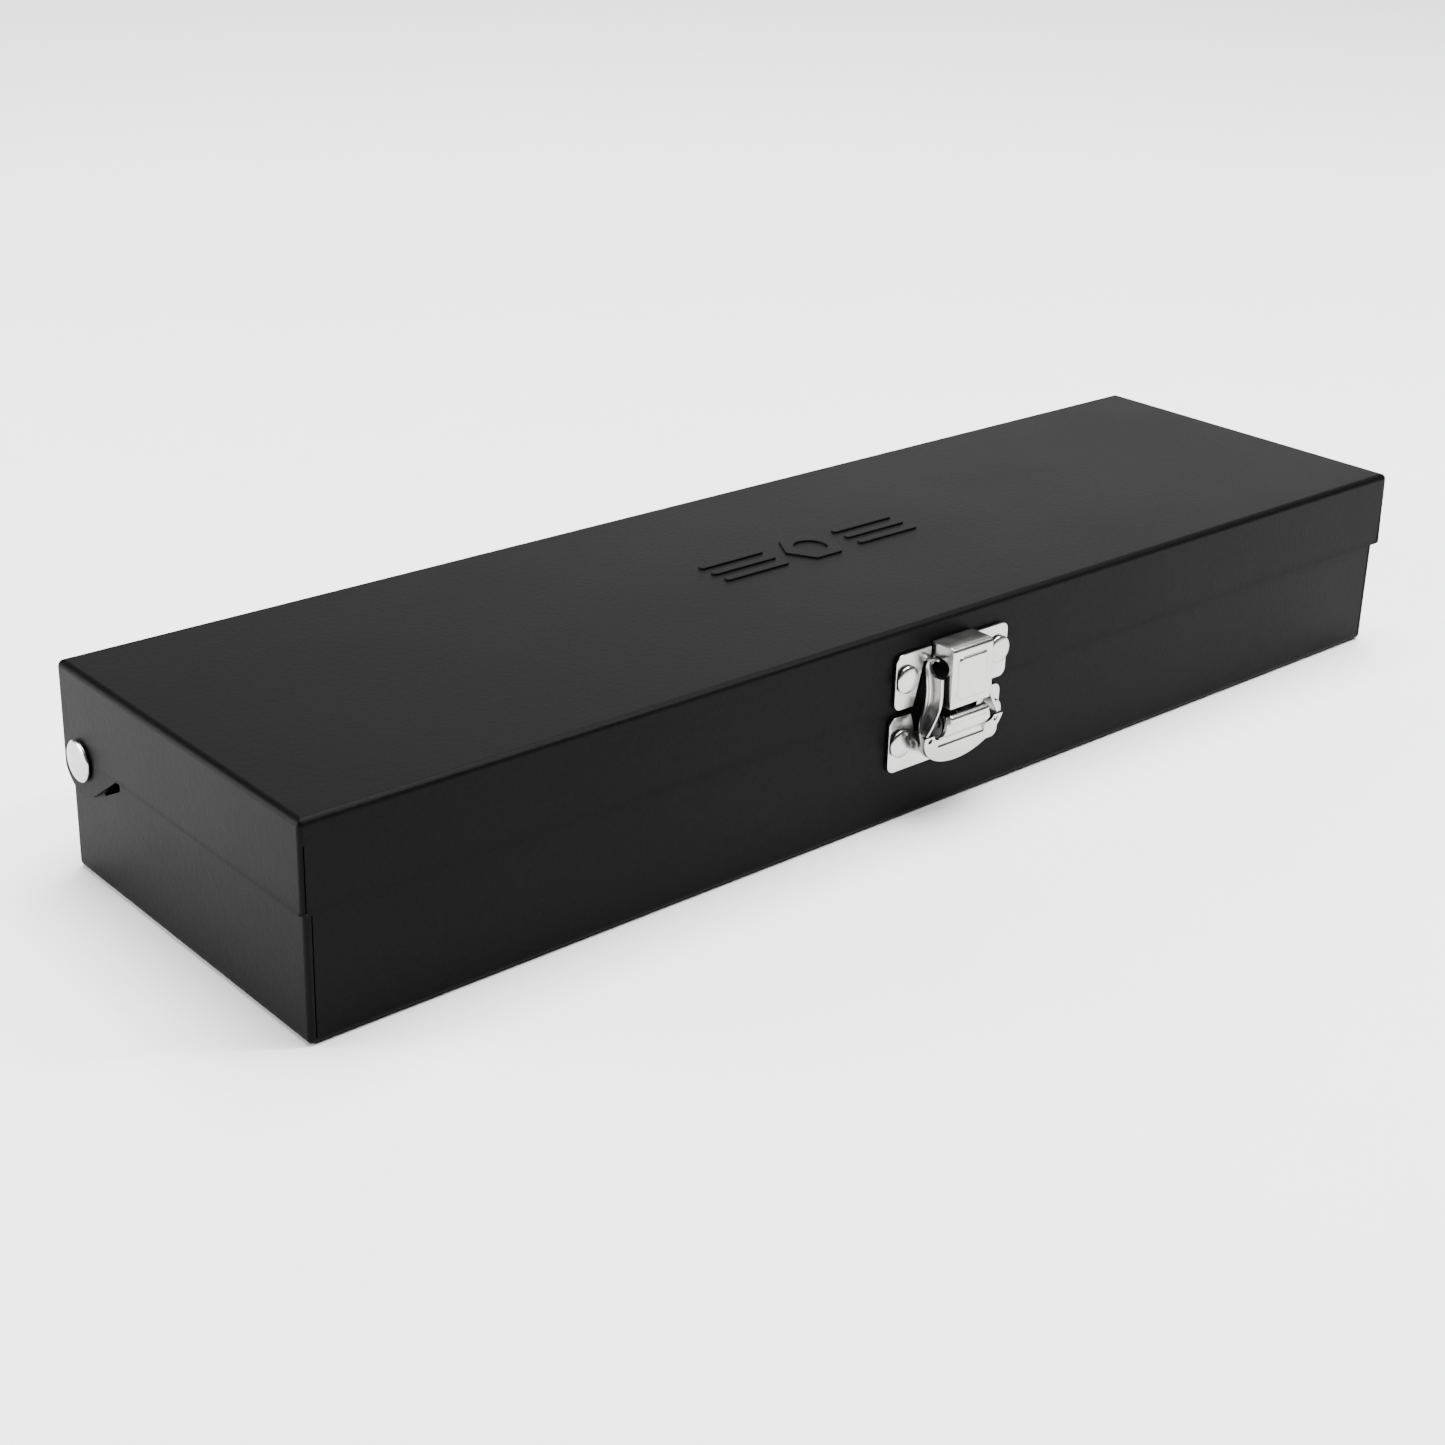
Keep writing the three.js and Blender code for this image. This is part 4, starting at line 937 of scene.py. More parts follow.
def make_catch():
    plate = sheet("catch", CATCH_LOW, CATCH_HIGH, GAP, GAP + PLATE_THICK)
    edge = CLAW_INNER + CLAW_THICK
    slot = claw_slot(CATCH_LOW - 2.25, edge + 4.8, SLOT_TOP, edge + 1.3)
    slits = []
    for side in (-1, 1):
        x0, x1 = sorted((side * (BOX_HALF - 0.1), side * (BOX_HALF + 0.85)))
        slit = [(x0, SLOT_TOP - 0.5), (x1, SLOT_TOP - 0.5), (x1, CATCH_HIGH + 1), (x0, CATCH_HIGH + 1)]
        slits.append(prism("slit", slit, FRONT_Y - 3, FRONT_Y + 3, "y"))
    carved(plate, slot, *slits)
    bend = 1.5
    front_bend = arc(BOX_REACH - bend, BOX_HIGH - bend, bend, 90, 0, 10)
    notch = arc(HOOK_P, HOOK_Z, NOTCH_RADIUS, -70, 90, 18)
    wall = [(GAP, BOX_HIGH), *front_bend, (BOX_REACH, BOX_LOW), (5.1, BOX_LOW), *notch,
            (GAP + PLATE_THICK + 0.4, HOOK_Z + NOTCH_RADIUS), (GAP, HOOK_Z + NOTCH_RADIUS + 0.4)]
    box = prism("box", out(wall), -BOX_HALF, BOX_HALF, "x")
    near = BOX_REACH - BOX_WALL
    room = [(GAP + PLATE_THICK, BOX_HIGH - BOX_WALL),
            *arc(BOX_REACH - bend, BOX_HIGH - bend, bend - BOX_WALL, 90, 0, 6),
            (near, BOX_LOW - 1), (GAP + PLATE_THICK, BOX_LOW - 1)]
    carved(box, prism("room", out(room), BOX_WALL - BOX_HALF, BOX_HALF - BOX_WALL, "x"))
    softened(box, 0.3, 3, 50)
    rings = []
    for p, inset in ((BOX_REACH - 0.3, 2.0), (BOX_REACH + 0.02, 2.0), (BOX_REACH + 0.3, 2.2),
                     (BOX_REACH + 0.45, 2.5), (BOX_REACH + 0.5, 2.9)):
        outline = rounded_rectangle(inset - BOX_HALF, BOX_HALF - inset, BOX_LOW + inset,
                                    BOX_HIGH - inset - bend / 2, 1.1, 6)
        rings.append([(x, FRONT_Y - p, z) for x, z in outline])
    softened(plate, 0.2, 3, 50)
    return joined(plate, box, smoothed(loft("panel", rings)))


settled(make_catch(), "lid", "nickel", NICKEL, "catch_plate")

# %% [markdown]
# ## The latch plate and its link
# The lower plate is riveted to the base. Two ears folded from it carry the link, and the link
# carries the handle. All three are hidden behind the handle's tab when the latch is shut.

# %% Latch plate and link
LATCH_LOW, LATCH_HIGH = LID_LOWER_EDGE - 17.5, LID_LOWER_EDGE - 2.3
UPPER = (2.05, LID_LOWER_EDGE - 6.5)
LOWER = (2.05, LID_LOWER_EDGE - 12.9)
EYE, PIN, PIN_ROOM = 1.8, 0.9, 0.3
EAR_INNER, EAR = 3.0, 1.0
LINK_INNER = EAR_INNER + EAR + GAP
latch_back = GAP - (SHEET + GAP)
latch_front = latch_back + PLATE_THICK


def pin_cutter(at):
    (y, z), = out([at])
    return prism("pin_hole", polygon(y, z, PIN + PIN_ROOM, 32), -PLATE_HALF, PLATE_HALF, "x")


def make_latch_plate():
    plate = sheet("latch_sheet", LATCH_LOW, LATCH_HIGH, latch_back, latch_front)
    carved(plate, claw_slot(LATCH_HIGH - 5.8, CLAW_INNER + 2.7, LATCH_HIGH + 1, CLAW_INNER + 4.9))
    foot = LATCH_HIGH - 8 - EYE
    for side in (-1, 1):
        ear = out([(latch_back, foot), (latch_front, foot), *arc(*UPPER, EYE, -50, 180, 20),
                   (latch_back, UPPER[1] - EYE)])
        inner = sorted((side * EAR_INNER, side * (EAR_INNER + EAR)))
        merged(plate, prism("ear", ear, *inner, "x"))
    return softened(carved(plate, pin_cutter(UPPER)), 0.2, 3, 50)


def make_link():
    outline = out(capsule(UPPER, LOWER, EYE))
    cheeks = [prism("cheek", outline, LINK_INNER, LINK_INNER + EAR, "x"),
              prism("cheek", outline, -LINK_INNER - EAR, -LINK_INNER, "x")]
    middle, front = (UPPER[1] + LOWER[1]) / 2, LOWER[0] + EYE
    half = LINK_INNER + EAR - 0.1
    low, high = middle - 1.2, middle + 1.2
    web = [(front - 0.8, low), (front, low), (front, high), (front - 0.8, high)]
    link = merged(prism("link", out(web), -half, half, "x"), *cheeks)
    return softened(carved(link, pin_cutter(UPPER), pin_cutter(LOWER)), 0.15, 2, 50)


settled(make_latch_plate(), "case", "nickel", NICKEL, "latch_plate")
settled(make_link(), "latch_link", "dark_steel", DARK_STEEL, "latch_link")

# %% [markdown]
# ## The handle
# The handle is what a thumb lifts. It's a stamping shaped like a shallow bowl: a round tab with its
# rim turned back, a rolled ridge along the top to stiffen it, and two claws that rise beside the
# catch. Each claw is drawn as rounded sections joined by a smooth curve, because in pressed steel
# nothing turns a sharp corner.

# %% Handle sections
TAB_LOW, TAB_HIGH = LID_LOWER_EDGE - 17, LID_LOWER_EDGE - 6.9
TAB_HALF, TAB_THICK, TAB_P, TAB_SLOPE = CLAW_INNER + 5.9, 1.0, 4.2, 0.25
RIDGE_HALF, RIDGE_RADIUS = CLAW_INNER - 1.3, 1.4
GROOVE_RADIUS, GROOVE_SUNK, GROOVE_HALF = 2.3, 0.7, 8.5
RIDGE = (7.3, LID_LOWER_EDGE - 3.4)
CLAW_FOOT = TAB_HIGH - 3.2 - LID_LOWER_EDGE
HOOK_RADIUS = 2.3


def tab_front(z):
    return TAB_P + TAB_SLOPE * (z - TAB_LOW)


FOOT_P = tab_front(LID_LOWER_EDGE + CLAW_FOOT)
# height above the lid's edge, how far the arm spreads, back, front and width of the turned-out edge
CLAW_SECTIONS = [
    (CLAW_FOOT, 3.9, FOOT_P - 1.6, FOOT_P - 0.2, 1.05), (-6.6, 4.0, 3.4, 6.3, 1.1),
    (-4.1, 2.6, 2.4, 6.5, 1.6), (-1.1, 1.0, 2.0, 6.6, 2.0), (0.9, 0.3, 1.9, 6.6, 2.1),
    (3.9, 0.0, 1.7, 6.5, 2.0), (7.3, 0.0, 1.2, 6.4, 1.9), (10.4, 0.0, 0.5, 6.2, 1.6),
    (12.0, 0.0, 1.3, 5.2, 1.3), (12.7, 0.0, 2.4, 4.4, 1.05),
]


def through(values, t):
    """A smooth curve through evenly numbered rows of values."""
    i = min(int(t), len(values) - 2)
    f = t - i
    a, b = values[max(i - 1, 0)], values[i]
    c, d = values[i + 1], values[min(i + 2, len(values) - 1)]
    return [
        q + 0.5 * f * (r - p + f * (2 * p - 5 * q + 4 * r - u + f * (3 * (q - r) + u - p)))
        for p, q, r, u in zip(a, b, c, d)
    ]


def claw_section(x, back, front, edge):
    """An angle in plan: a wall beside the catch, with its back edge turned outwards."""
    t = CLAW_THICK
    bend = min(t, 0.4 * (front - back))
    corners = [(x, back), (x, front), (x + t, front), (x + t, back + bend), (x + edge, back + bend),
               (x + edge, back)]
    points = []
    for before, corner, after in zip(corners[-1:] + corners, corners, corners[1:] + corners[:1]):
        points += eased([before, corner, after], 0.35, 4)[1:-1]
    return points


def claw(side):
    rings = []
    last = len(CLAW_SECTIONS) - 1
    for i in range(6 * last + 1):
        rise, spread, back, front, edge = through(CLAW_SECTIONS, i / 6)
        section = claw_section(CLAW_INNER + spread, back, front, edge)
        rings.append([(side * x, FRONT_Y - p, LID_LOWER_EDGE + rise) for x, p in section])
    arm = loft("claw", rings)
    reach = HOOK_RADIUS * 2.6
    mouth = [*arc(HOOK_P, HOOK_Z, HOOK_RADIUS, 80, 260, 24),
             (HOOK_P + reach, HOOK_Z - HOOK_RADIUS + 0.2), (HOOK_P + reach, HOOK_Z + HOOK_RADIUS + 2)]
    return smoothed(carved(arm, prism("mouth", out(mouth), -20, 20, "x")), 50)


def leaned(piece):
    """Tips a piece made flat on the plane y = 0 so that it follows the tab's slope."""
    for vertex in piece.data.vertices:
        z = vertex.co.z / MM
        vertex.co.y += (FRONT_Y - tab_front(z)) * MM
    return piece


print("claw drawn from", len(CLAW_SECTIONS), "sections")

# %% [markdown]
# ## The handle's tab
# The tab, its rim, the ridge, the claws and the ears that hold the lower pin are made as closed
# bodies that press into each other, and then joined. The tab and the rim are made upright and
# leaned to the tab's slope last, because flat outlines are easy to draw and to carve.

# %% Handle
RIM_SECTION = ((0.0, 0.2), (0.0, 1.5), (0.25, 1.75), (0.75, 1.75), (0.95, 1.5), (0.95, 0.2))


def tab_outline(inset):
    half, low = TAB_HALF - inset, TAB_LOW + inset
    bowl = [(half * math.cos(a), TAB_HIGH - (TAB_HIGH - low) * math.sin(a))
            for a in (math.pi * i / 48 for i in range(49))]
    inner = RIDGE_HALF
    return bowl + [(-inner - 3.4, TAB_HIGH), (-inner, TAB_HIGH - 0.4), (-inner, RIDGE[1] - 0.6),
                   (inner, RIDGE[1] - 0.6), (inner, TAB_HIGH - 0.4), (inner + 3.4, TAB_HIGH)]


def tab_rim():
    """The bowl's edge, turned back towards the case."""
    steps = 48
    rings = []
    for i in range(steps + 1):
        a = math.pi * i / steps
        ring = []
        for inset, depth in RIM_SECTION:
            half, drop = TAB_HALF - inset, TAB_HIGH - TAB_LOW - inset
            ring.append((half * math.cos(a), depth, TAB_HIGH - drop * math.sin(a)))
        rings.append(ring)
    return loft("rim", rings)


def make_handle():
    slab = prism("handle", tab_outline(0), 0, TAB_THICK, "y")
    groove = polygon(GROOVE_SUNK - GROOVE_RADIUS, TAB_HIGH - 2.7, GROOVE_RADIUS, 60)
    cutters = [prism("groove", groove, -GROOVE_HALF, GROOVE_HALF, "x")]
    for side in (-1, 1):
        for x, z, radius in ((CLAW_INNER + 0.6, TAB_HIGH + 0.4, 2.1), (12.0, TAB_HIGH - 1.3, 0.75)):
            ring = polygon(side * x, z, radius, 30)
            cutters.append(prism("opening", ring, -4, 4, "y"))
    leaned(carved(slab, *cutters))
    softened(slab, 0.2, 3, 50)
    rim = smoothed(leaned(tab_rim()))
    (ridge_y, ridge_z), = out([RIDGE])
    half = RIDGE_HALF
    roll = eased([(0, -half), (RIDGE_RADIUS, -half), (RIDGE_RADIUS, half), (0, half)], 0.7)
    ridge = smoothed(turned("ridge", roll, (0, ridge_y, ridge_z), "x", 40))
    ears = []
    for side in (-1, 1):
        p, z = LOWER
        ear = out([*arc(p, z, EYE, 90, 290, 20), (tab_front(z - 1.4) - TAB_THICK / 2, z - 1.4),
                   (tab_front(z + 3) - TAB_THICK / 2, z + 3)])
        between = sorted((side * CLAW_INNER, side * (CLAW_INNER + CLAW_THICK)))
        ears.append(softened(carved(prism("ear", ear, *between, "x"), pin_cutter(LOWER)), 0.12))
    return joined(slab, rim, ridge, claw(1), claw(-1), *ears)


settled(make_handle(), "latch_handle", "nickel", NICKEL, "latch_handle")

# %% [markdown]
# ## Latch rivets and pins
# Four flat-headed rivets hold the two plates. Their heads almost reach the plates' edges.

# %% Latch rivets and pins
RIVET_HEAD, RIVET_DOME, RIVET_SHANK = 3.7, 1.2, 1.6
RIVET_TAIL, RIVET_TAIL_HEIGHT = 2.6, 0.8
rows = (("catch", "lid", LID_LOWER_EDGE + 8.4, -SHEET, GAP + PLATE_THICK),
        ("latch", "case", LID_LOWER_EDGE - 9.6, base_half_y - SHEET - lid_half_y, latch_front))
for row, body, height, wall, front in rows:
    low = wall - GAP - RIVET_TAIL_HEIGHT
    grip = front + GAP - low - RIVET_TAIL_HEIGHT
    profile = rivet_profile(RIVET_HEAD, RIVET_DOME, RIVET_SHANK, RIVET_TAIL, RIVET_TAIL_HEIGHT, grip)
    for side, word, _ in SIDES:
        place = (side * RIVET_X, FRONT_Y - low, height)
        rivet = smoothed(turned(f"{row}_{word}", profile, place, "-y", 64))
        settled(rivet, body, "nickel", NICKEL, f"{row}_rivet_{word}")

for word, body, at, half in (("upper", "case", UPPER, LINK_INNER + EAR + 0.6),
                             ("lower", "latch_handle", LOWER, CLAW_INNER + CLAW_THICK + 0.6)):
    (y, z), = out([at])
    bar = eased([(0, -half), (PIN, -half), (PIN, half), (0, half)], 0.25)
    pin = smoothed(turned(f"pin_{word}", bar, (0, y, z), "x", 40))
    settled(pin, body, "dark_steel", DARK_STEEL, f"latch_pin_{word}")

# %% [markdown]
# ## Sockets
# A socket is turned from bar, broached to a hexagon at one end and a square at the other, and
# plated. Each has a full-width drive end, a band of fine knurling to grip, a cone down or up to the
# nut end, and chamfers on every rim. All ten come from one profile, with the sizes as its rule.
# The two numbers of a size are the nut it fits and the outer diameter of its nut end.

# %% Sockets
DRIVE_SQUARE, CLEARANCE, SOCKET_HEIGHT, DRIVE_OUTER = 12.7, 0.3, 38.0, 23.5
SOCKET_SHOULDER, DRIVE_DEPTH, NUT_DEPTH = 15.0, 16.0, 17.0
SOCKET_SIZES = [(10, 17.5), (11, 18.5), (12, 19), (13, 20), (14, 21.5), (17, 24), (19, 26.5), (21, 29),
                (22, 30), (24, 32)]
LEAD_IN = 0.8


def broached(name, outline, cx, cy, mouth, depth, grow):
    """A broached hole: straight walls, with a short lead-in cut at its mouth."""
    step = 1 if depth > mouth else -1
    wide = [(cx + (x - cx) * grow, cy + (y - cy) * grow) for x, y in outline]
    wider = [(cx + (x - cx) * (grow + 0.12), cy + (y - cy) * (grow + 0.12)) for x, y in outline]
    rows = [(wider, mouth - step * LEAD_IN), (wide, mouth), (outline, mouth + step * LEAD_IN),
            (outline, depth)]
    return loft(name, [[(x, y, z) for x, y in points] for points, z in rows])


def make_socket(size, outer):
    low, high = box_of(f"socket_{size}")
    x, y, base = (low.x + high.x) / 2, (low.y + high.y) / 2, low.z
    drive, nut = DRIVE_OUTER / 2, outer / 2
    cone = SOCKET_SHOULDER + abs(drive - nut) + 1
    outline = eased([(0, 0), (drive - 1, 0), (drive, 1), (drive, 3), (drive - 0.35, 3.35),
                     (drive - 0.35, 4.2), (drive, 4.55), (drive, 11), (drive - 0.35, 11.3),
                     (drive - 0.35, 12.1), (drive, 12.5),
                     (drive, SOCKET_SHOULDER), (nut, cone), (nut, SOCKET_HEIGHT - 1),
                     (nut - 1, SOCKET_HEIGHT), (0, SOCKET_HEIGHT)], 0.5, 3)
    profile = banded(outline, 4.8, 10.8, 0.5)
    body = turned(f"socket_{size}_body", profile, (x, y, base), segments=240, flutes=60, depth=0.35,
                  low=5.0, high=10.6)
    top = base + SOCKET_HEIGHT
    hexagon = polygon(x, y, (size + CLEARANCE) / math.sqrt(3), 6, 30)
    square = polygon(x, y, (DRIVE_SQUARE + CLEARANCE) / math.sqrt(2), 4, 45)
    bore = polygon(x, y, min(size, DRIVE_SQUARE) * 0.4, 48)
    carved(body, broached("nut", hexagon, x, y, top, top - NUT_DEPTH, 1.08),
           broached("drive", square, x, y, base, base + DRIVE_DEPTH, 1.06),
           prism("through", bore, base, top))
    return smoothed(body, 28)


for size, outer in SOCKET_SIZES:
    settled(make_socket(size, outer), f"socket_{size}", "tool_chrome", CHROME, f"socket_{size}")

# %% [markdown]
# ## Extension bar
# A long turned bar: a square hole at the thick end, a square drive with its detent ball at the
# other, and a collar with diamond knurling so that oily fingers can spin it.

# %% Extension bar
BALL, BALL_SEAT, BALL_STANDS_OUT, SEAT_FLOOR = 2.0, 2.3, 0.7, 2.35


def make_ball(name, at):
    half_round = arc(0, 0, BALL, -90, 90, 16)
    half_round[0], half_round[-1] = (0, -BALL), (0, BALL)
    return smoothed(turned(name, half_round, at, segments=32), 60)


def drive_square(name, low, high, cx, cy, axis):
    """The square drive's solid, with its corners taken off."""
    half = DRIVE_SQUARE / 2
    outline = rounded_rectangle(cx - half, cx + half, cy - half, cy + half, 1.1, 4)
    return prism(name, outline, low, high, axis)


bar_low, bar_high = box_of("extension_bar")
BAR_Y, BAR_Z = (bar_low.y + bar_high.y) / 2, 17.0
BAR_END, BAR_SHAFT, BAR_END_LENGTH, BAR_NECK, BAR_DRIVE = 11.2, 6.4, 26.0, 6.0, 15.0


def make_bar():
    length = bar_high.x - bar_low.x
    shoulder, collar = length - BAR_DRIVE, BAR_END - 2.4
    outline = eased([(0, 0), (BAR_END - 1, 0), (BAR_END, 1), (BAR_END, 4), (BAR_END - 0.5, 4.6),
                     (BAR_END - 0.5, 5.6), (BAR_END, 6.2), (BAR_END, 20), (BAR_END - 0.5, 20.6),
                     (BAR_END - 0.5, 21.6), (BAR_END, 22.2), (BAR_END, BAR_END_LENGTH),
                     (BAR_SHAFT, BAR_END_LENGTH + BAR_NECK), (BAR_SHAFT, shoulder - 10),
                     (collar, shoulder - 7),
                     (collar, shoulder - 1), (collar - 1, shoulder), (0, shoulder)], 0.8, 4)
    profile = banded(outline, 6.6, 19.8, 0.3)
    bar = turned("bar", profile, (bar_low.x, BAR_Y, BAR_Z), "x", 288, flutes=36, depth=0.4, twist=1.9,
                 sharpness=1.6, low=7.0, high=19.4)
    square = drive_square("square", bar_high.x - BAR_DRIVE - 1, bar_high.x, BAR_Y, BAR_Z, "x")
    half = (DRIVE_SQUARE + CLEARANCE) / 2
    corners = [(BAR_Y - half, BAR_Z - half), (BAR_Y + half, BAR_Z - half), (BAR_Y + half, BAR_Z + half),
               (BAR_Y - half, BAR_Z + half)]
    hole = prism("hole", corners, bar_low.x - 1, bar_low.x + DRIVE_DEPTH, "x")
    dimple = polygon(bar_high.x - BAR_DRIVE / 2, BAR_Y, BALL_SEAT, 30)
    seat = prism("seat", dimple, BAR_Z + SEAT_FLOOR, BAR_Z + 12)
    return joined(smoothed(carved(bar, hole), 30), softened(carved(square, seat), 0.3, 3))


settled(make_bar(), "extension", "tool_chrome", CHROME, "extension_bar")
ball_place = (bar_high.x - BAR_DRIVE / 2, BAR_Y, BAR_Z + DRIVE_SQUARE / 2 + BALL_STANDS_OUT - BALL)
settled(make_ball("bar_ball", ball_place), "extension", "dark_steel", DARK_STEEL, "extension_ball")

# %% [markdown]
# ## Ratchet
# The ratchet is a forged head and shaft, chromed and polished, with a screwed cover plate. A toothed
# wheel with the square drive turns inside. A button in its middle releases the socket, a lever
# behind it swings the pawl over, and a ribbed plastic grip is pressed onto the shaft.

# %% Ratchet sizes
cover_low, cover_high = box_of("ratchet_cover")
HEAD_RADIUS, HEAD_LOW, HEAD_HIGH = 18.5, 18.6, 34.4
HEAD_X = (cover_low.x + cover_high.x) / 2
HEAD_Y = (cover_low.y + cover_high.y) / 2
SHAFT_Z = (HEAD_LOW + HEAD_HIGH) / 2
COVER_THICK, RIM = 1.6, 1.6
COVER_UNDER = HEAD_HIGH - COVER_THICK
GEAR_RADIUS, GEAR_LOW, GEAR_HIGH, TOOTH = 10.2, 21.35, 30.35, 1.1
HUB, BUTTON, LEVER_PIN, LEVER_X = 8.8, 3.1, 2.2, HEAD_X + 12.4
PLAY = 0.3
RATCHET_LENGTH, GRIP_LENGTH, GRIP_RADIUS, SHAFT = 250, 108.0, 12.8, 7.0
GRIP_END = HEAD_X - HEAD_RADIUS + RATCHET_LENGTH
GRIP_START = GRIP_END - GRIP_LENGTH
SCREWS = [(HEAD_X + 14 * math.cos(a), HEAD_Y + 14 * math.sin(a))
          for a in (math.radians(180 - 55), math.radians(180 + 55))]


print("ratchet head at", round(HEAD_X, 1), round(HEAD_Y, 1), "grip from", round(GRIP_START, 1))

# %% [markdown]
# ## The ratchet's head, cover and grip
# Head and shaft are two turned shapes merged into one, then bored for the wheel, the lever and the
# screws. The cover is a disc that drops into a step in the head. The grip is turned with broad
# flutes and has a blind hole for the shaft.

# %% Head, cover and grip
def round_cutter(radius, low, high, x=HEAD_X, y=HEAD_Y):
    return prism("round", polygon(x, y, radius, 60), low, high)


def make_ratchet_body():
    edge = eased([(0, HEAD_LOW), (HEAD_RADIUS - 1.6, HEAD_LOW), (HEAD_RADIUS, HEAD_LOW + 1.6),
                  (HEAD_RADIUS, HEAD_HIGH - 1), (HEAD_RADIUS - 0.6, HEAD_HIGH), (0, HEAD_HIGH)], 1.2, 5)
    body = turned("ratchet", edge, (HEAD_X, HEAD_Y, 0), segments=128)
    start = HEAD_X + HEAD_RADIUS - 4
    run = GRIP_START - start
    neck = eased([(0, 0), (SHAFT + 0.8, 0), (SHAFT - 0.8, run - 8), (SHAFT + 1, run - 2),
                  (SHAFT + 1, run), (SHAFT - 2, run), (SHAFT - 2, run + GRIP_LENGTH - 12),
                  (0, run + GRIP_LENGTH - 12)], 1.5, 5)
    merged(body, turned("shaft", neck, (start, HEAD_Y, SHAFT_Z), "x", 96))
    carved(body, round_cutter(GEAR_RADIUS + 1.6, HEAD_LOW + 2.4, HEAD_HIGH + 1),
           round_cutter(3.4, HEAD_LOW + 2.4, HEAD_HIGH + 1, LEVER_X),
           round_cutter(HEAD_RADIUS - RIM, COVER_UNDER - GAP, HEAD_HIGH + 1),
           round_cutter(HUB + PLAY, HEAD_LOW - 1, HEAD_HIGH + 1),
           *[round_cutter(1.2, COVER_UNDER - 5 - GAP, HEAD_HIGH + 1, x, y) for x, y in SCREWS])
    return smoothed(body, 30)


def make_cover():
    cover = round_cutter(HEAD_RADIUS - RIM - GAP, COVER_UNDER, HEAD_HIGH)
    cover.name = "cover"
    carved(cover, round_cutter(BUTTON + PLAY, 0, ABOVE_ALL),
           round_cutter(LEVER_PIN + PLAY, 0, ABOVE_ALL, LEVER_X),
           *[round_cutter(1.9, 0, ABOVE_ALL, x, y) for x, y in SCREWS])
    return softened(cover, 0.25, 3)


def make_grip():
    inside = SHAFT - 2 + GAP
    blind = GRIP_LENGTH - 12 + GAP
    skin = eased([(inside, GAP), (GRIP_RADIUS - 4.2, GAP), (GRIP_RADIUS - 2.4, 5),
                  (GRIP_RADIUS - 3.6, 14), (GRIP_RADIUS - 0.8, 34), (GRIP_RADIUS, 58),
                  (GRIP_RADIUS - 0.6, 84), (GRIP_RADIUS - 1.6, 100),
                  (GRIP_RADIUS - 4, GRIP_LENGTH), (0, GRIP_LENGTH)], 6, 8)
    profile = banded(skin, 20, 92, 1.5) + [(0, blind), (inside, blind), (inside, GAP)]
    grip = turned("grip", profile, (GRIP_START, HEAD_Y, SHAFT_Z), "x", 240, flutes=20, depth=0.9,
                  sharpness=5.0, low=24.0, high=90.0)
    return smoothed(grip, 35)


print("head", 2 * HEAD_RADIUS, "mm wide, grip", 2 * GRIP_RADIUS, "mm thick")

# %% [markdown]
# ## The ratchet's small parts
# The toothed wheel and its hub come from the same tree as the sockets, with 24 flutes for teeth.
# The lever is a hub, an arm and a pin pressed together, and each screw has a cross cut in its head.

# %% Small parts
def make_gear():
    reach = GEAR_RADIUS
    rim = [(0, GEAR_LOW), (reach, GEAR_LOW), (reach, GEAR_HIGH), (0, GEAR_HIGH)]
    profile = banded(rim, GEAR_LOW, GEAR_HIGH, 3)
    gear = turned("gear", profile, (HEAD_X, HEAD_Y, 0), segments=288, flutes=24, depth=TOOTH,
                  low=0.0, high=60.0)
    low, high = HEAD_LOW - 0.6, GEAR_LOW + 1
    hub = turned("hub", eased([(0, low), (HUB, low), (HUB, high), (0, high)], 0.5), (HEAD_X, HEAD_Y, 0))
    carved(merged(gear, hub), round_cutter(BUTTON + PLAY, GEAR_LOW + 2, ABOVE_ALL))
    top = HEAD_LOW - 0.1
    square = drive_square("square", top - 15, top, HEAD_X, HEAD_Y, "z")
    seat = prism("seat", polygon(HEAD_X, top - 7.5, BALL_SEAT, 30), HEAD_Y - 12, HEAD_Y - SEAT_FLOOR, "y")
    return joined(smoothed(gear, 30), softened(carved(square, seat), 0.35, 3))


LEVER_THICK, LEVER_REACH, LEVER_TURN, LEVER_PIN_END = 3.4, 11, 33, 29.7


def make_lever():
    low = HEAD_HIGH + GAP
    high = low + LEVER_THICK
    round_hub = eased([(0, low), (4, low), (4, high), (0, high)], 0.6)
    hub = turned("lever", round_hub, (LEVER_X, HEAD_Y, 0), segments=64)
    turn = math.radians(LEVER_TURN)
    tip = (LEVER_X + LEVER_REACH * math.cos(turn), HEAD_Y + LEVER_REACH * math.sin(turn))
    arm = softened(prism("arm", capsule((LEVER_X, HEAD_Y), tip, 3.2, 2.2, 16), low, high - 0.8), 0.5, 4)
    end = LEVER_PIN_END
    stem = [(0, end), (LEVER_PIN, end), (LEVER_PIN, low + 1), (0, low + 1)]
    pin = turned("pin", stem, (LEVER_X, HEAD_Y, 0), segments=48)
    return joined(smoothed(hub), arm, smoothed(pin))


def make_screw(place, number):
    low = COVER_UNDER - 5
    shape = eased([(0, low), (0.9, low), (0.9, COVER_UNDER), (1.6, COVER_UNDER), (1.6, HEAD_HIGH - 0.1),
                   (1.1, HEAD_HIGH + 0.3), (0, HEAD_HIGH + 0.3)], 0.15)
    screw = turned(f"screw_{number}", shape, (*place, 0), segments=40)
    x, y = place
    slots = [prism("slot", rounded_rectangle(x - a, x + a, y - b, y + b, 0.1, 2), HEAD_HIGH - 0.3, 60)
             for a, b in ((1.0, 0.2), (0.2, 1.0))]
    return smoothed(carved(screw, *slots), 30)


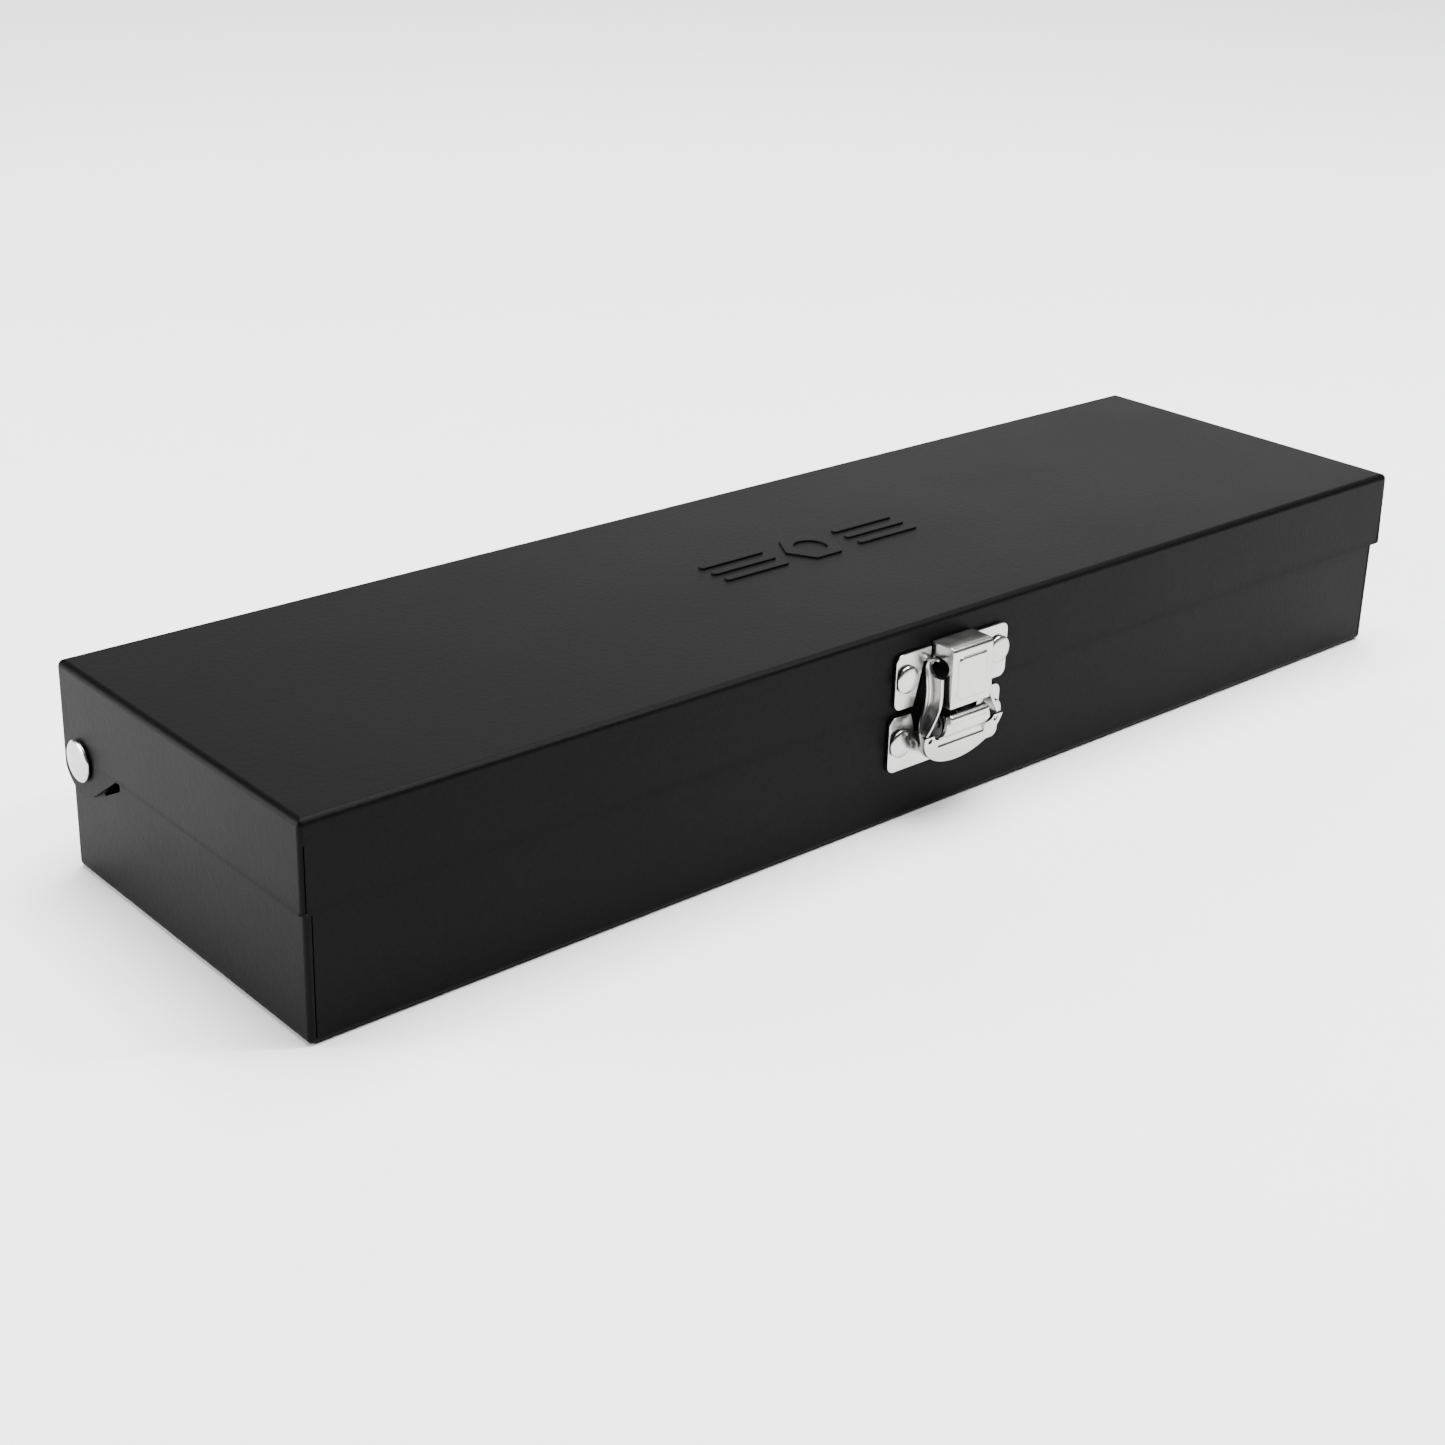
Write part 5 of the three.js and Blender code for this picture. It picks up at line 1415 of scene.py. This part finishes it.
settled(make_ratchet_body(), "ratchet", "tool_chrome", CHROME, "ratchet_body")
settled(make_cover(), "ratchet", "tool_chrome", CHROME, "ratchet_cover")
settled(make_grip(), "ratchet", "grip_plastic", GRIP_PLASTIC, "ratchet_grip")
settled(make_gear(), "ratchet_drive", "dark_steel", DARK_STEEL, "drive_gear")
settled(make_lever(), "reversing_lever", "dark_steel", DARK_STEEL, "reversing_lever")
for number, place in enumerate(SCREWS, 1):
    settled(make_screw(place, number), "ratchet", "dark_steel", DARK_STEEL, f"cover_screw_{number}")
ball_place = (HEAD_X, HEAD_Y - DRIVE_SQUARE / 2 - BALL_STANDS_OUT + BALL, HEAD_LOW - 0.1 - 7.5)
ball = make_ball("drive_ball_shape", ball_place)
settled(ball, "ratchet_drive", "dark_steel", DARK_STEEL, "drive_ball")
button_low, button_high = (corner.z for corner in box_of("release_button"))
button_shape = eased(
    [(0, button_low), (BUTTON, button_low), (BUTTON, button_high - 0.6), (0, button_high)], 0.6, 6
)
button = turned("button", button_shape, (HEAD_X, HEAD_Y, 0), segments=64)
settled(smoothed(button), "release_button", "dark_steel", DARK_STEEL, "release_button")

# %% [markdown]
# ## Tray and rail
# The tray is one deep moulding with a pocket in the ratchet's outline and another for the bar,
# and a round hole for a finger. A mould needs round edges, so every pocket's rim is eased. The
# rail behind it is a strip with a square peg for each socket.

# %% Tray and rail
TRAY_TOP, TRAY_FLOOR, POCKET, FINGER = 30.0, 3.0, 0.6, 11.0
tray_low, tray_high = box_of("tool_tray")
rail_low, rail_high = box_of("socket_rail")


def trough(x0, x1, y, half, floor, corner):
    reach = half + POCKET
    outline = rounded_rectangle(x0 - POCKET, x1 + POCKET, y - reach, y + reach, corner, 8)
    return prism("trough", outline, floor - POCKET, TRAY_TOP + 1)


def make_tray():
    outline = rounded_rectangle(tray_low.x, tray_high.x, tray_low.y, tray_high.y, 2, 8)
    tray = prism("tray", outline, tray_low.z, TRAY_TOP)
    bar_floor = BAR_Z - BAR_END
    carved(
        tray,
        round_cutter(HEAD_RADIUS + POCKET, HEAD_LOW - GAP, TRAY_TOP + 1),
        round_cutter(HUB + 1 + POCKET, TRAY_FLOOR, TRAY_TOP + 1),
        trough(HEAD_X, GRIP_START + 1, HEAD_Y, SHAFT + 1, SHAFT_Z - SHAFT - 1, 1),
        trough(GRIP_START - 1.4, GRIP_END, HEAD_Y, GRIP_RADIUS, SHAFT_Z - GRIP_RADIUS, 3),
        trough(bar_low.x, bar_high.x, BAR_Y, BAR_END, bar_floor, 2),
        round_cutter(FINGER, bar_floor - POCKET, TRAY_TOP + 1, bar_high.x + FINGER * 0.6, BAR_Y),
    )
    return softened(tray, 0.5, 3, 35)


def make_rail():
    outline = rounded_rectangle(rail_low.x, rail_high.x, rail_low.y, rail_high.y, 2, 8)
    rail = softened(prism("rail", outline, rail_low.z, TRAY_FLOOR), 0.4, 3)
    side = DRIVE_SQUARE + CLEARANCE - 0.6
    pegs = []
    for size, _ in SOCKET_SIZES:
        low, high = box_of(f"socket_{size}")
        x, y = (low.x + high.x) / 2, (low.y + high.y) / 2
        rings = []
        for z, inset in ((TRAY_FLOOR - 1, 0), (TRAY_FLOOR + 8.8, 0), (TRAY_FLOOR + 10, 1.2)):
            half = side / 2 - inset
            outline = rounded_rectangle(x - half, x + half, y - half, y + half, 0.8, 4)
            rings.append([(u, v, z) for u, v in outline])
        pegs.append(smoothed(loft("peg", rings)))
    return joined(rail, *pegs)


settled(make_tray(), "case", "tray_plastic", TRAY_PLASTIC, "tool_tray")
settled(make_rail(), "case", "tray_plastic", TRAY_PLASTIC, "socket_rail")

# %% [markdown]
# ## The pawl
# The pawl is a small hardened wedge inside the head. Its plain CAD shape is right already, so it's
# kept: a merged copy with eased edges takes its place.

# %% Pawl
def eased_copy(node, width):
    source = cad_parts[node]
    copy = bpy.data.objects.new(f"{node}_eased", source.data.copy())
    copy.data.transform(source.matrix_world)
    bpy.context.scene.collection.objects.link(copy)
    return softened(copy, width, 2, 40)


settled(eased_copy("pawl", 0.12), "reversing_lever", "dark_steel", DARK_STEEL, "pawl")

# %% [markdown]
# ## Floor, sky and lamps
# The set stands on a wide pale floor under soft light. The sky is dim but for one wide glow at the
# back right, which the lid's top mirrors at its far end. A large panel overhead lights the floor, a
# panel on the left lights the end wall, and a small lamp in front picks out the edges and rivets.

# %% Stage and light
def lamp(name, place, aim, size, power):
    data = bpy.data.lights.new(name, "AREA")
    data.shape = "RECTANGLE"
    data.size, data.size_y = size
    data.energy = power
    made = bpy.data.objects.new(name, data)
    made.location = place
    made.rotation_mode = "QUATERNION"
    made.rotation_quaternion = (Vector(aim) - Vector(place)).to_track_quat("-Z", "Y")
    bpy.context.scene.collection.objects.link(made)


def pale_floor():
    floor = prism("floor", [(-6000, -6000), (6000, -6000), (6000, 6000), (-6000, 6000)], -20, -0.05)
    paper = Finish("pale_paper", Specular_IOR_Level=0.1)
    tooth = paper.noise(30, detail=3.0)
    light, lighter = (0.92, 0.92, 0.92, 1), (0.95, 0.95, 0.95, 1)
    floor.data.materials.append(paper.set(Base_Color=paper.mixed(tooth, light, lighter), Roughness=0.9))
    return floor


def sky(strength, base, glow, toward, width):
    """An even sky with one wide glow in the direction given."""
    world = bpy.data.worlds.new("sky")
    world.use_nodes = True
    recipe = Recipe(world.node_tree)
    direction = recipe.node("ShaderNodeTexCoord", output="Generated")
    inputs = {0: direction, 1: Vector(toward).normalized()}
    likeness = recipe.node("ShaderNodeVectorMath", {"operation": "DOT_PRODUCT"}, inputs, "Value")
    bright = recipe.maths("POWER", recipe.maths("MAXIMUM", likeness, 0.0), width) * glow + base
    background = world.node_tree.nodes["Background"]
    background.inputs["Strength"].default_value = strength
    grey = recipe.node("ShaderNodeCombineColor", None, {0: bright, 1: bright, 2: bright})
    recipe.plug(background.inputs["Color"], grey)
    bpy.context.scene.world = world


pale_floor()
sky(1.0, 0.06, 1.85, (0.72, 0.69, 0.12), 5.0)
lamp("top_panel", (0.4, 0.1, 3.0), (0.2, 0.1, 0), (2.2, 2.2), 345)
lamp("left_panel", (-1.1, 0.6, 0.35), (-0.19, 0, 0.02), (0.5, 0.5), 26)
lamp("edge_lamp", (0.435, -0.47, 0.77), (-0.12, -0.05, 0.05), (0.14, 0.14), 8)
print("three lamps and a sky with one glow")
